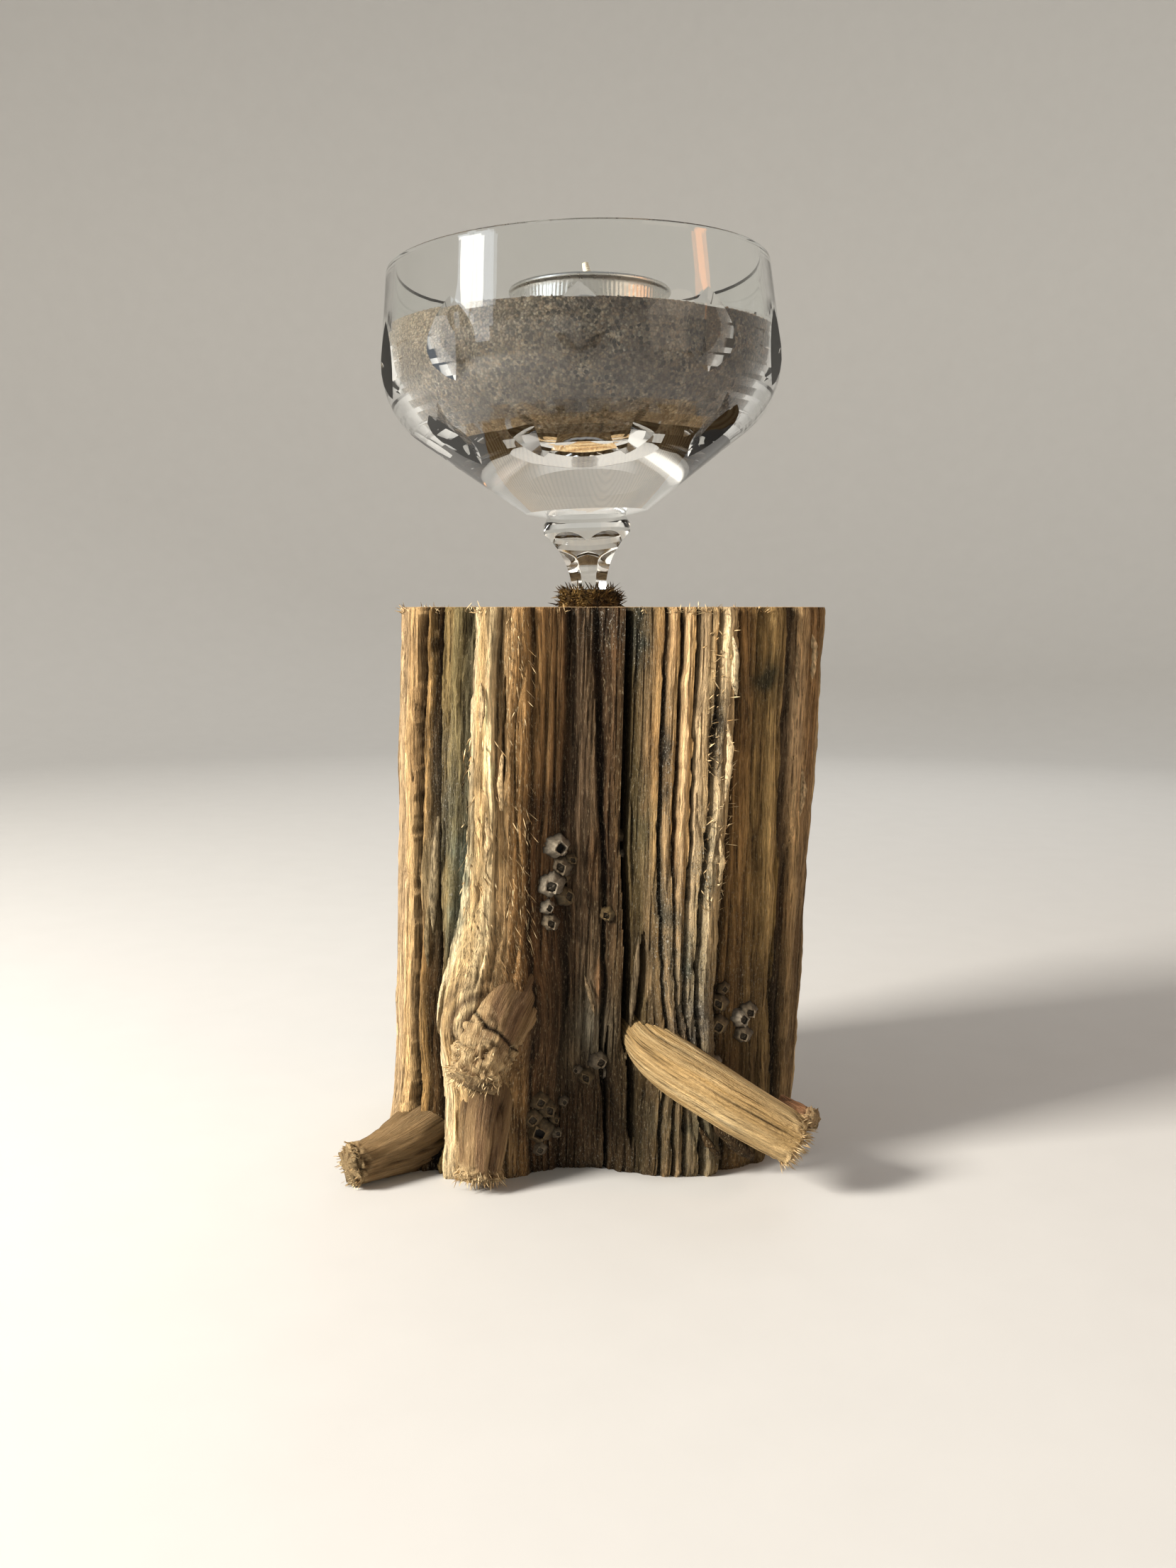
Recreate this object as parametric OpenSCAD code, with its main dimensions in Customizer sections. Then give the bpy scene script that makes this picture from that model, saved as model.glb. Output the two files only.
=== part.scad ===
// Tealight holder: a crystal coupe without its foot, set by its stem into the sawn top of a driftwood
// block. The bowl is part filled with sand, and a tealight in an aluminium cup stands on the sand.
// Millimetres. The origin is on the floor, under the socket. +Z is up, -Y is the front, +X the right.

/* [Driftwood] */
// Height of the block between its two sawn ends
block_h = 128; // [120:1:140]
// How far the foot of the block lies to the left of its top
block_lean = 3.5; // [0:0.5:5]
// Depth of the weathered flutes
flute_depth = 0.8; // [0.4:0.1:1.2]
// How much the right side draws in towards the foot
right_taper = 3; // [0:0.5:4]
// How far the swelling round the broken knot stands out of the front
knot_out = 6; // [4:0.5:8]
// Width of the drying crack at its mouth
crack_w = 3; // [2:0.5:4]
// Depth of the drying crack
crack_depth = 11; // [6:1:14]

/* [Socket] */
// Diameter of the hole bored for the stem
socket_d = 13; // [12.5:0.5:14]
// Depth of the hole
socket_depth = 22; // [20:1:30]
// Thickness of the moss packed at the mouth of the hole
moss_plug_h = 7; // [5:0.5:9]

/* [Coupe] */
// Angle by which the coupe leans to the left in its socket
coupe_lean = 2; // [0:0.5:2.5]
// Height of the rim above the top of the block
rim_h = 78; // [76:0.5:82]
// Outer radius of the rim
rim_r = 44.5; // [43.5:0.5:45.5]
// Outer radius of the belly
belly_r = 46.7; // [46:0.1:47.5]
// Thickness of the wall at the rim
rim_t = 1.8; // [1.6:0.1:2.2]
// Number of cuts in each row round the bowl
cuts = 10; // [8:1:12]
// Depth of the upright lens cuts
lens_depth = 2.1; // [1.6:0.1:2.2]
// Half width of the stem across its flats
stem_r = 4; // [3.6:0.2:4.4]

/* [Sand] */
// Height of the level sand above the top of the block
sand_h = 62.5; // [60:0.5:65]
// How deep the tealight is pressed into the sand
candle_sunk = 6; // [4:0.5:8]

/* [Tealight] */
// Diameter of the aluminium cup over its rolled lip
cup_d = 38; // [37:0.5:39]
// Height of the cup
cup_h = 17; // [15:0.5:18]
// Depth of the wax below the lip
wax_drop = 2; // [1:0.5:3]
// Height of the wick above the wax
wick_out = 8.5; // [7:0.5:11]

/* [Hidden] */
$fn = 144;

wood_color = [0.66, 0.53, 0.38];
barnacle_color = [0.60, 0.55, 0.47];

columns = 72;
rings = 14;
// Radius of the block at every 15 degrees, from +X through the back and the left round to the front
back_radii = [55, 55, 52, 50, 45, 41, 39, 40, 43, 46, 46, 44];
front_radii = [43, 44, 47.5, 44, 41, 36, 33.5, 35, 42, 48, 53.5, 55.5];
radii = concat(back_radii, front_radii);
// Grooves and ridges down the side: [angle, height of the ridge (a groove is negative), width in degrees]
grooves = [[212, -1.6, 4], [226, -1.5, 4], [249, 1.5, 3], [262, -1.2, 5], [292, -1.2, 4],
    [304, -1.8, 3], [318, 1.6, 4], [328, -2, 4], [30, -1.5, 5], [66, 1.4, 6], [108, -1.6, 5],
    [140, 1.2, 5], [171, -1.4, 5]];
knot_angle = 242;
knot_z = 40;
crack_angle = 284;
crack_bottom = 34;

// The tapering stubs: [start, end, start radius, end radius]
branch_from = [12, -30, 31.5];
branch_to = [45.5, -45.2, 12.2];
branch_r = [6.2, 5.8];
root_from = [-35, -23, 9];
root_to = [-53, -40.5, 5];
root_r = [7, 4.4];
knot_from = [-18, -30, 42];
knot_to = [-25, -46, 25];
knot_r = [9, 7];
toe_from = [-23.5, -34, 16];
toe_to = [-24.3, -40.6, 3];
toe_r = [6.5, 5];

gap = 0.05;
free_gap = 0.3;

foot_r = 14.5;
foot_z = 22.4;
belly_bend = 20;
belly_z = 56;
bowl_floor = 37.2;
lens_z = 54.6;
lens_wheel = 48;
lens_slope = 4.3;
bowl_bend = 24.8;
bowl_mid = [19.8, 62];
petal_wheel = 26;
petal_depth = 1.5;
petal_slope = 4;
stem_wheel = 19;
stem_waist = 3.4;
stem_below = 18;

cup_wall = 0.4;
cup_r = cup_d / 2;
cup_z = block_h + sand_h - candle_sunk;
wax_h = cup_h - wax_drop - cup_wall;
wick_r = 0.9;
neck_r = 1.5;
neck_h = 3;

function bump(a, centre, width) = let (d = ((a - centre + 540) % 360) - 180) exp(-d * d / (width * width));

function catmull(p0, p1, p2, p3, t) = p1 + 0.5 * t * (p2 - p0
    + t * (2 * p0 - 5 * p1 + 4 * p2 - p3 + t * (3 * (p1 - p2) + p3 - p0)));

function outline_r(a) = let (n = len(radii), k = a / 15, i = floor(k))
    catmull(radii[(i + n - 1) % n], radii[i % n], radii[(i + 1) % n], radii[(i + 2) % n], k - i);

function groove_sum(a) = [for (g = grooves) g[1] * bump(a, g[0], g[2])] * [for (g = grooves) 1];

function knot(a, z) = knot_out * bump(a, knot_angle, 12) * exp(-pow((z - knot_z) / 13, 2))
    + 2 * bump(a, knot_angle - 2, 8) * (z < knot_z ? 1 : 0);

function flare(a, z) = 5 * exp(-z / 9) * bump(a, 214, 14) + 2 * exp(-z / 12) * bump(a, 150, 30);

function drawn_in(a, z) = right_taper * bump(a, -4, 34) * (1 - z / block_h);

function block_r(a, z) = outline_r(a) + groove_sum(a) + knot(a, z) + flare(a, z) - drawn_in(a, z)
    + flute_depth * sin(a * 23 + 8 * sin(z * 5)) + 0.5 * sin(z * 7 + a * 3);

function block_shift(z) = -block_lean * (1 - z / block_h);

function block_point(i, j) = let (a = i * 360 / columns, z = j * block_h / (rings - 1), r = block_r(a, z))
    [block_shift(z) + r * cos(a), r * sin(a), z];

function arc(c, r, from, to, n) = [for (i = [0:n])
    let (a = from + (to - from) * i / n) c + r * [cos(a), sin(a)]];

// The trunk: rings of points up the block, each end closed round a point in its middle
module trunk() {
    side = [for (j = [0:rings - 1]) for (i = [0:columns - 1]) block_point(i, j)];
    bottom_mid = columns * rings;
    points = concat(side, [[block_shift(0), 0, 0], [0, 0, block_h]]);
    walls = [for (j = [0:rings - 2]) for (i = [0:columns - 1])
        let (a = j * columns + i, b = j * columns + (i + 1) % columns)
        for (f = [[a, b + columns, b], [a, a + columns, b + columns]]) f];
    ends = [for (i = [0:columns - 1]) let (k = (i + 1) % columns, top = (rings - 1) * columns)
        for (f = [[bottom_mid, i, k], [bottom_mid + 1, top + k, top + i]]) f];
    polyhedron(points, concat(walls, ends));
}

// A tapering stub of a branch or root from one point to another, with a blunt rounded start
module stub(from, to, r) {
    d = to - from;
    translate(from) rotate([0, acos(d[2] / norm(d)), atan2(d[1], d[0])]) {
        cylinder(h = norm(d), r1 = r[0], r2 = r[1]);
        sphere(r[0]);
    }
}

// The drying crack, a long wedge that narrows inwards and towards its lower end
module crack() {
    rotate(crack_angle) translate([block_r(crack_angle, block_h) + 3, 0, crack_bottom])
        linear_extrude(block_h)
            polygon([[0, -crack_w / 2], [0, crack_w / 2], [-crack_depth - 3, 0]]);
}

// Stands its children on the side of the block: z outwards, x down, y round the block
module on_side(angle, height) {
    translate([block_shift(height), 0, height]) rotate(angle)
        translate([block_r(angle, height) - 1.2, 0, 0]) rotate([0, 90, 0]) children();
}

// The flat place that a group of barnacles grows on
module seat(angle, height, size) {
    on_side(angle, height) translate([-size[1] / 2, -size[0] / 2, 0]) cube([size[1], size[0], 14]);
}

// One barnacle: a steep cone of shell plates with a four sided opening
module barnacle(p, r, h, turn) {
    translate([p[1], p[0], 0]) difference() {
        cylinder(h = h, r1 = r, r2 = r * 0.62);
        translate([0, 0, h * 0.35]) rotate(turn)
            cylinder(h = h, r = r * 0.42, $fn = 4);
    }
}

// A group of barnacles, each [[across, down], radius, height, turn]
module barnacle_group(angle, height, members) {
    color(barnacle_color) on_side(angle, height)
        for (m = members) barnacle(m[0], m[1], m[2], m[3]);
}

upper_at = [259, 67];
middle_at = [273, 23];
lower_at = [257, 12];
right_at = [312, 38];
lone_at = [276, 59];

module driftwood_block() {
    color(wood_color) difference() {
        union() {
            intersection() {
                union() {
                    stub(branch_from, branch_to, branch_r);
                    stub(root_from, root_to, root_r);
                    stub(knot_from, knot_to, knot_r);
                    stub(toe_from, toe_to, toe_r);
                }
                translate([-100, -100, 0]) cube([200, 200, block_h]);
            }
            trunk();
        }
        translate([0, 0, block_h - socket_depth]) cylinder(h = socket_depth + 1, d = socket_d);
        crack();
        seat(upper_at[0], upper_at[1], [9, 22]);
        seat(middle_at[0], middle_at[1], [10, 8]);
        seat(lower_at[0], lower_at[1], [10, 14]);
        seat(right_at[0], right_at[1], [12, 14]);
        seat(lone_at[0], lone_at[1], [4, 4]);
    }
}

// Turns its children into the leaning frame of the coupe, whose zero is at the top of the block
module leaning() {
    translate([0, 0, block_h]) rotate([0, -coupe_lean, 0]) children();
}

// The six sided stem, left round at the knob: a turned blank less six flats that a wheel has ground
module stem(grow) {
    difference() {
        rotate_extrude() polygon([[0, -stem_below], [stem_r + 1.6 + grow, -stem_below],
            [stem_r + 1.6 + grow, 0], [8.6, 13.5], [10.3, 17.5], [10.4, 19.4], [9.4, 21.4],
            [foot_r, foot_z], [foot_r, foot_z + 1], [0, foot_z + 1]]);
        for (a = [0:60:300]) rotate(a) {
            translate([stem_r + stem_wheel + grow, 0, stem_waist]) rotate([90, 0, 0])
                cylinder(h = 30, r = stem_wheel, center = true);
            translate([stem_r + grow, -15, -stem_below - 1]) cube([30, 30, stem_below + 1 + stem_waist]);
        }
    }
}

// Half section of the outside of the bowl, from the blunt foot to the rim
function bowl_outside() = concat(
    [[0, foot_z], [foot_r, foot_z]],
    arc([belly_r - belly_bend, belly_z], belly_bend, -54, 5, 7),
    arc([rim_r - rim_t / 2, rim_h - rim_t / 2], rim_t / 2, 0, 90, 3));

// Half section of the hollow, drawn in by d
function bowl_inside(d) = concat(
    [[0, bowl_floor + d], [10, bowl_floor + d]],
    arc(bowl_mid, bowl_bend - d, -75, 0, 10),
    [[rim_r - rim_t - d, rim_h - rim_t / 2], [rim_r - rim_t - d, rim_h + 5], [0, rim_h + 5]]);

// A grinding wheel with a V shaped edge, turning in the XZ plane, its lowest edge point at the origin
module v_wheel(r, slope, deep) {
    translate([r, 0, 0]) rotate([90, 0, 0]) rotate_extrude()
        polygon([[0, -deep * slope], [r - deep, -deep * slope], [r, 0], [r - deep, deep * slope],
            [0, deep * slope]]);
}

module coupe() {
    color([0.86, 0.90, 0.92, 0.35]) leaning() difference() {
        union() {
            rotate_extrude() polygon(concat(bowl_outside(), [[0, rim_h]]));
            stem(0);
        }
        rotate_extrude() polygon(bowl_inside(0));
        for (i = [0:cuts - 1]) rotate(i * 360 / cuts - 90) {
            translate([belly_r - lens_depth, 0, lens_z]) v_wheel(lens_wheel, lens_slope, 5);
            rotate(180 / cuts) translate([36, 0, 38.2]) rotate([0, 54, 0])
                translate([-petal_depth, 0, 0]) v_wheel(petal_wheel, petal_slope, 3);
        }
    }
}

// The sand: the hollow of the bowl up to a level top, with the print of the tealight in it
module sand_fill() {
    color([0.54, 0.50, 0.45]) difference() {
        leaning() rotate_extrude() polygon(bowl_inside(gap));
        translate([-60, -60, block_h + sand_h]) cube([120, 120, 40]);
        translate([0, 0, cup_z - free_gap]) cylinder(h = 40, r = cup_r - 0.5 + free_gap);
    }
}

// Glue that holds the stem in the lower part of the socket
module socket_glue() {
    color([0.85, 0.80, 0.65]) difference() {
        translate([0, 0, block_h - socket_depth])
            cylinder(h = socket_depth - moss_plug_h - gap, d = socket_d - 2 * gap);
        leaning() stem(gap);
    }
}

// Moss and bark fibre: a plug in the mouth of the socket and a ruff round the stem above it
module moss_collar() {
    color([0.35, 0.24, 0.15]) difference() {
        union() {
            translate([0, 0, block_h - moss_plug_h]) cylinder(h = moss_plug_h, d = socket_d - 2 * gap);
            translate([0, 0, block_h]) rotate_extrude()
                polygon([[0, 0], [7.3, 0], [7, 1.2], [6.4, 2.4], [6.3, 3.6], [5.6, 4.7], [0, 4.7]]);
        }
        leaning() stem(gap);
    }
}

// The aluminium cup of the tealight, drawn from sheet, with a rolled lip
module cup() {
    color([0.80, 0.81, 0.82]) translate([0, 0, cup_z]) rotate_extrude() {
        polygon([[0, 0], [cup_r - 1.6, 0], [cup_r - 1, 0.6], [cup_r - 0.7, cup_h - 1],
            [cup_r - 0.7 - cup_wall, cup_h - 1], [cup_r - 1 - cup_wall, cup_wall + 0.4],
            [cup_r - 1.8, cup_wall], [0, cup_wall]]);
        translate([cup_r - 0.7, cup_h - 0.7]) circle(0.7);
    }
}

module wax() {
    color([0.95, 0.93, 0.87]) translate([0, 0, cup_z + cup_wall]) difference() {
        rotate_extrude() polygon([[0, 0], [cup_r - 2.1, 0], [cup_r - 1.5, 0.8], [cup_r - 1.3, wax_h - 0.6],
            [cup_r - 2.1, wax_h], [0, wax_h]]);
        translate([0, 0, -1]) cylinder(h = wax_h + 2, r = wick_r + gap);
        translate([0, 0, -1]) cylinder(h = 1.35 + gap, r = 6.5 + gap);
        cylinder(h = neck_h + gap, r = neck_r + gap);
    }
}

// The tinplate disc that holds the wick upright at the bottom of the wax
module sustainer() {
    color([0.62, 0.62, 0.60]) translate([0, 0, cup_z + cup_wall]) difference() {
        union() {
            cylinder(h = 0.35, r = 6.5);
            cylinder(h = neck_h, r = neck_r);
        }
        translate([0, 0, -1]) cylinder(h = neck_h + 2, r = wick_r + gap);
    }
}

module wick() {
    color([0.93, 0.91, 0.84]) translate([0, 0, cup_z + cup_wall])
        cylinder(h = wax_h + wick_out, r = wick_r);
}

module barnacles_upper() {
    barnacle_group(upper_at[0], upper_at[1], [[[0.6, -7.6], 2.3, 3.4, 10], [[0.9, -4.2], 2, 3, 25],
        [[-0.9, -1], 2.3, 3.1, 20], [[1.9, 1.3], 1.9, 2.4, 40], [[-1.6, 3.2], 1.5, 2.4, 15],
        [[-1.2, 6.3], 1.7, 2.6, 30], [[3, -5], 1.3, 2, 5], [[0.9, 3.3], 1.5, 2, 50]]);
}

module barnacles_middle() {
    barnacle_group(middle_at[0], middle_at[1], [[[2.6, -1.2], 2, 2.6, 15], [[-0.2, 0.9], 2, 2.4, 35],
        [[-2.2, -0.4], 1.4, 2, 5], [[2.9, 1.5], 1.3, 1.8, 20]]);
}

module barnacles_lower() {
    barnacle_group(lower_at[0], lower_at[1], [[[-1.6, -4], 1.8, 2.4, 12], [[0.2, -1.6], 2, 2.6, 33],
        [[-2.4, -0.9], 1.6, 2, 8], [[-0.6, 1.7], 2.2, 2.8, 20], [[2.2, 0.6], 1.4, 2, 45],
        [[1.6, 3.1], 1.5, 2, 0]]);
}

module barnacles_right() {
    barnacle_group(right_at[0], right_at[1], [[[-0.6, -4.2], 2, 2.8, 18], [[1.4, -1.8], 1.9, 2.6, 40],
        [[-0.9, -0.6], 2.1, 2.7, 5], [[0.8, 2.2], 2, 2.4, 28], [[-1.6, 3.2], 1.7, 2.2, 12]]);
}

module barnacle_lone() {
    barnacle_group(lone_at[0], lone_at[1], [[[0, 0], 1.6, 2.4, 22]]);
}

driftwood_block();
socket_glue();
moss_collar();
coupe();
sand_fill();
cup();
wax();
sustainer();
wick();
barnacles_upper();
barnacles_middle();
barnacles_lower();
barnacles_right();
barnacle_lone();
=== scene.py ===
"""A cut crystal coupe set in a block of driftwood, part filled with sand, with a tealight on the sand."""

import math

import bmesh
import bpy
import numpy as np
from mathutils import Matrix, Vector
from mathutils.bvhtree import BVHTree


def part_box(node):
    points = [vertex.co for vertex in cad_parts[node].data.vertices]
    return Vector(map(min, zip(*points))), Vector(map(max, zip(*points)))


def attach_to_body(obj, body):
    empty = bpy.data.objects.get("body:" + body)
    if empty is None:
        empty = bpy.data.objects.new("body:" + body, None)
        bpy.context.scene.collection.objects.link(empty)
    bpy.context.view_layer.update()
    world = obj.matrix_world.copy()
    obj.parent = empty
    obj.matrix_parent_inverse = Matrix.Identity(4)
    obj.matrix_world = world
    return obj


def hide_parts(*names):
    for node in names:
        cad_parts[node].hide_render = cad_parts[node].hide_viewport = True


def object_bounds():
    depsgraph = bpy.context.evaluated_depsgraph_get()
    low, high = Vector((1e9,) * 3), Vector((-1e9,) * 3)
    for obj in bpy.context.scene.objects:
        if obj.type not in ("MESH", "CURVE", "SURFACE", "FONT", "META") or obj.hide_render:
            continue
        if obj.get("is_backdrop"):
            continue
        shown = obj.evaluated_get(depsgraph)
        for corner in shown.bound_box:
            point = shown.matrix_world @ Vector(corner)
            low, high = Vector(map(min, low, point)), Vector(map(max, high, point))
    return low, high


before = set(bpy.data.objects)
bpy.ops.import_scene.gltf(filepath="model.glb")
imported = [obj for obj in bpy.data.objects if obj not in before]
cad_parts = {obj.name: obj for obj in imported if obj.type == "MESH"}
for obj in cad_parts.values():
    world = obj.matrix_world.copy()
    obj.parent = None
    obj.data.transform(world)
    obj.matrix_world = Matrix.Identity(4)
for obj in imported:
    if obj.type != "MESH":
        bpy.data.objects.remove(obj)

bl_info = {
    "name": "Driftwood tealight holder",
    "version": (1, 0, 0),
    "blender": (4, 5, 0),
    "location": "3D View > Sidebar > Tealight holder",
    "description": "Builds a crystal coupe in a driftwood block, with sand, a tealight, moss and barnacles",
    "category": "Object",
}

MM = 0.001
TURN = 2 * math.pi
# How far stubs, flakes and torn fibres keep off the floor, in mm
FLOOR_GAP = 0.05
_, BLOCK_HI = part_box("driftwood_block")
BLOCK_H = BLOCK_HI[2] / MM
CUP_LO, CUP_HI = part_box("cup")
SAND_LO, SAND_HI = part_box("sand_fill")
MOSS_LO, MOSS_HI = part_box("moss_collar")
WICK_LO, WICK_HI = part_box("wick")
WAX_LO, WAX_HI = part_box("wax")

# ---------------------------------------------------------------- small tools


def linear(hex_colour):
    """Turns an sRGB hex colour into linear RGBA."""
    value = hex_colour.lstrip("#")
    parts = [int(value[i : i + 2], 16) / 255 for i in (0, 2, 4)]
    return [c / 12.92 if c <= 0.04045 else ((c + 0.055) / 1.055) ** 2.4 for c in parts] + [1.0]


def add(tree, kind, links=None, **settings):
    """Adds one node to a tree, with its properties in settings. links gives inputs a socket or a value."""
    made = tree.nodes.new(kind)
    for name, value in settings.items():
        setattr(made, name, value)
    for name, value in (links or {}).items():
        socket = made.inputs[name]
        if isinstance(value, bpy.types.NodeSocket):
            tree.links.new(value, socket)
        else:
            socket.default_value = value
    return made


def new_object(name, points_mm, faces):
    """Makes a mesh object from points in millimetres."""
    mesh = bpy.data.meshes.new(name)
    mesh.from_pydata((np.asarray(points_mm, dtype=float) * MM).tolist(), [], faces)
    mesh.validate()
    mesh.shade_smooth()
    made = bpy.data.objects.new(name, mesh)
    bpy.context.scene.collection.objects.link(made)
    return made


def outward(made):
    """Recalculates the normals of a closed mesh so that they point outwards."""
    work = bmesh.new()
    work.from_mesh(made.data)
    bmesh.ops.recalc_face_normals(work, faces=work.faces)
    work.to_mesh(made.data)
    work.free()
    return made


def carry(made, body, slot, *nodes):
    """Fixes a finished piece to its body and hides the CAD nodes that it stands for. The slot is not used."""
    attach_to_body(made, body)
    if nodes:
        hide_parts(*nodes)
    return made


def smooth_step(low, high, value):
    """Rises smoothly from 0 at low to 1 at high."""
    t = np.clip((value - low) / (high - low), 0, 1)
    return t * t * (3 - 2 * t)


NOISE_ROWS, NOISE_COLUMNS = 1024, 512


def lattice(u, v, seed, wrap=None):
    """Smooth value noise from -1 to 1 on the cells of (u, v). wrap is the number of cells round in u."""
    table = np.random.default_rng(seed).uniform(-1, 1, (NOISE_ROWS, NOISE_COLUMNS))
    iu, iv = np.floor(u).astype(int), np.floor(v).astype(int)
    fu, fv = u - iu, v - iv
    fu, fv = fu * fu * (3 - 2 * fu), fv * fv * (3 - 2 * fv)
    around = wrap or NOISE_COLUMNS
    a, b = iu % around, (iu + 1) % around
    c, d = iv % NOISE_COLUMNS, (iv + 1) % NOISE_COLUMNS
    low = table[a, c] * (1 - fu) + table[b, c] * fu
    high = table[a, d] * (1 - fu) + table[b, d] * fu
    return low * (1 - fv) + high * fv


def layered(u, v, seed, octaves=3, wrap=None):
    """Layers of lattice noise, each twice as fine and half as strong."""
    total = 0
    for k in range(octaves):
        total = total + lattice(u * 2**k, v * 2**k, seed + k, wrap and wrap * 2**k) / 2**k
    return total / (2 - 0.5 ** (octaves - 1))


def angles_round(count):
    """The angles of so many points round a circle."""
    return np.arange(count) * TURN / count


def lathe(outline, segments, wobble=None):
    """Turns a half section [(r, z), ...] round Z into points and faces. Its ends are on the axis or open."""
    angles = angles_round(segments)
    points, faces, rows = [], [], []
    for r, z in outline:
        if r < 1e-6:
            rows.append([len(points)] * segments)
            points.append((0, 0, z))
        else:
            rows.append(list(range(len(points), len(points) + segments)))
            for a in angles:
                rr = r + (wobble(a, r, z) if wobble else 0)
                points.append((rr * math.cos(a), rr * math.sin(a), z))
    for low, high in zip(rows, rows[1:]):
        for i in range(segments):
            k = (i + 1) % segments
            face = [low[i], low[k], high[k], high[i]]
            faces.append(list(dict.fromkeys(face)))
    return points, faces


def tube(path, radii, sides, rings, rough, cap_bulge):
    """Sweeps a circle along a smooth path of a few points. rough is added to its radius, ring by ring."""
    path = np.asarray(path, dtype=float)
    t = np.linspace(0, len(path) - 1, rings)
    centre = np.stack([spline(path[:, k], t) for k in range(3)], axis=1)
    size = spline(np.asarray(radii, dtype=float), t)
    ahead = np.gradient(centre, axis=0)
    ahead /= np.linalg.norm(ahead, axis=1, keepdims=True)
    upright = abs(path[-1, 2] - path[0, 2]) > 0.9 * np.linalg.norm(path[-1] - path[0])
    side = np.cross(ahead, [0.0, 1.0, 0.0] if upright else [0.0, 0.0, 1.0])
    side /= np.linalg.norm(side, axis=1, keepdims=True)
    up = np.cross(side, ahead)
    angle = angles_round(sides)
    radius = size[:, None] + rough
    around = np.cos(angle)[:, None] * side[:, None, :] + np.sin(angle)[:, None] * up[:, None, :]
    points = (centre[:, None, :] + radius[..., None] * around).reshape(-1, 3)
    first = centre[0] - ahead[0] * size[0] * cap_bulge
    last = centre[-1] + ahead[-1] * size[-1] * cap_bulge
    tip = sides * rings
    faces = grid_faces(rings, sides, flip=True) + fan(tip, 0, sides)
    faces += fan(tip + 1, tip - sides, sides, flip=True)
    return np.vstack([points, first, last]), faces


def catmull(p0, p1, p2, p3, f):
    """The Catmull-Rom value a share f of the way from p1 to p2."""
    return p1 + 0.5 * f * (p2 - p0 + f * (2 * p0 - 5 * p1 + 4 * p2 - p3 + f * (3 * (p1 - p2) + p3 - p0)))


def spline(values, at):
    """Smooth values at the places at, through values that stand at 0, 1, 2..."""
    last = len(values) - 1
    i = np.clip(np.floor(at).astype(int), 0, last - 1)
    before, after = values[np.maximum(i - 1, 0)], values[np.minimum(i + 2, last)]
    return catmull(before, values[i], values[i + 1], after, at - i)


def grid_faces(rows, columns, flip=False):
    """Faces of a grid of points that closes on itself along its rows."""
    faces = []
    for row in range(0, (rows - 1) * columns, columns):
        for i in range(columns):
            k = (i + 1) % columns
            face = [row + i, row + k, row + columns + k, row + columns + i]
            faces.append(face[::-1] if flip else face)
    return faces


def fan(tip, start, sides, flip=False):
    """Triangles from one point to a ring of points, whose first point is start."""
    pairs = [(start + i, start + (i + 1) % sides) for i in range(sides)]
    return [[tip, b, a] if flip else [tip, a, b] for a, b in pairs]


def len_before(blocks):
    """How many points stand in the blocks made so far."""
    return sum(len(block) for block in blocks)


# ---------------------------------------------------------------- driftwood

# Radius of the block every 15 degrees, in mm, from +X through the back and the left round to the front
RADII = [
    55, 55, 52, 50, 45, 41, 39, 40, 43, 46, 46, 44, 43, 44, 47.5, 44, 41, 36, 33.5, 35, 42, 48, 53.5, 55.5]
RADII_STEP = 15
LEAN = 3.5
RIGHT_TAPER = 3.0
SOCKET_R = 6.5
SOCKET_DEPTH = 22.0
# The detailed front, and where the knot, the toe and the root swell, in degrees round the block
FRONT = (205.0, 352.0)
KNOT_AT, TOE_AT, ROOT_AT = 242, 240, 216
# Rows of points up the block, and columns on its front and on the rest
TRUNK_ROWS, FRONT_COLUMNS, REST_COLUMNS = 168, 420, 96

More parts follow.
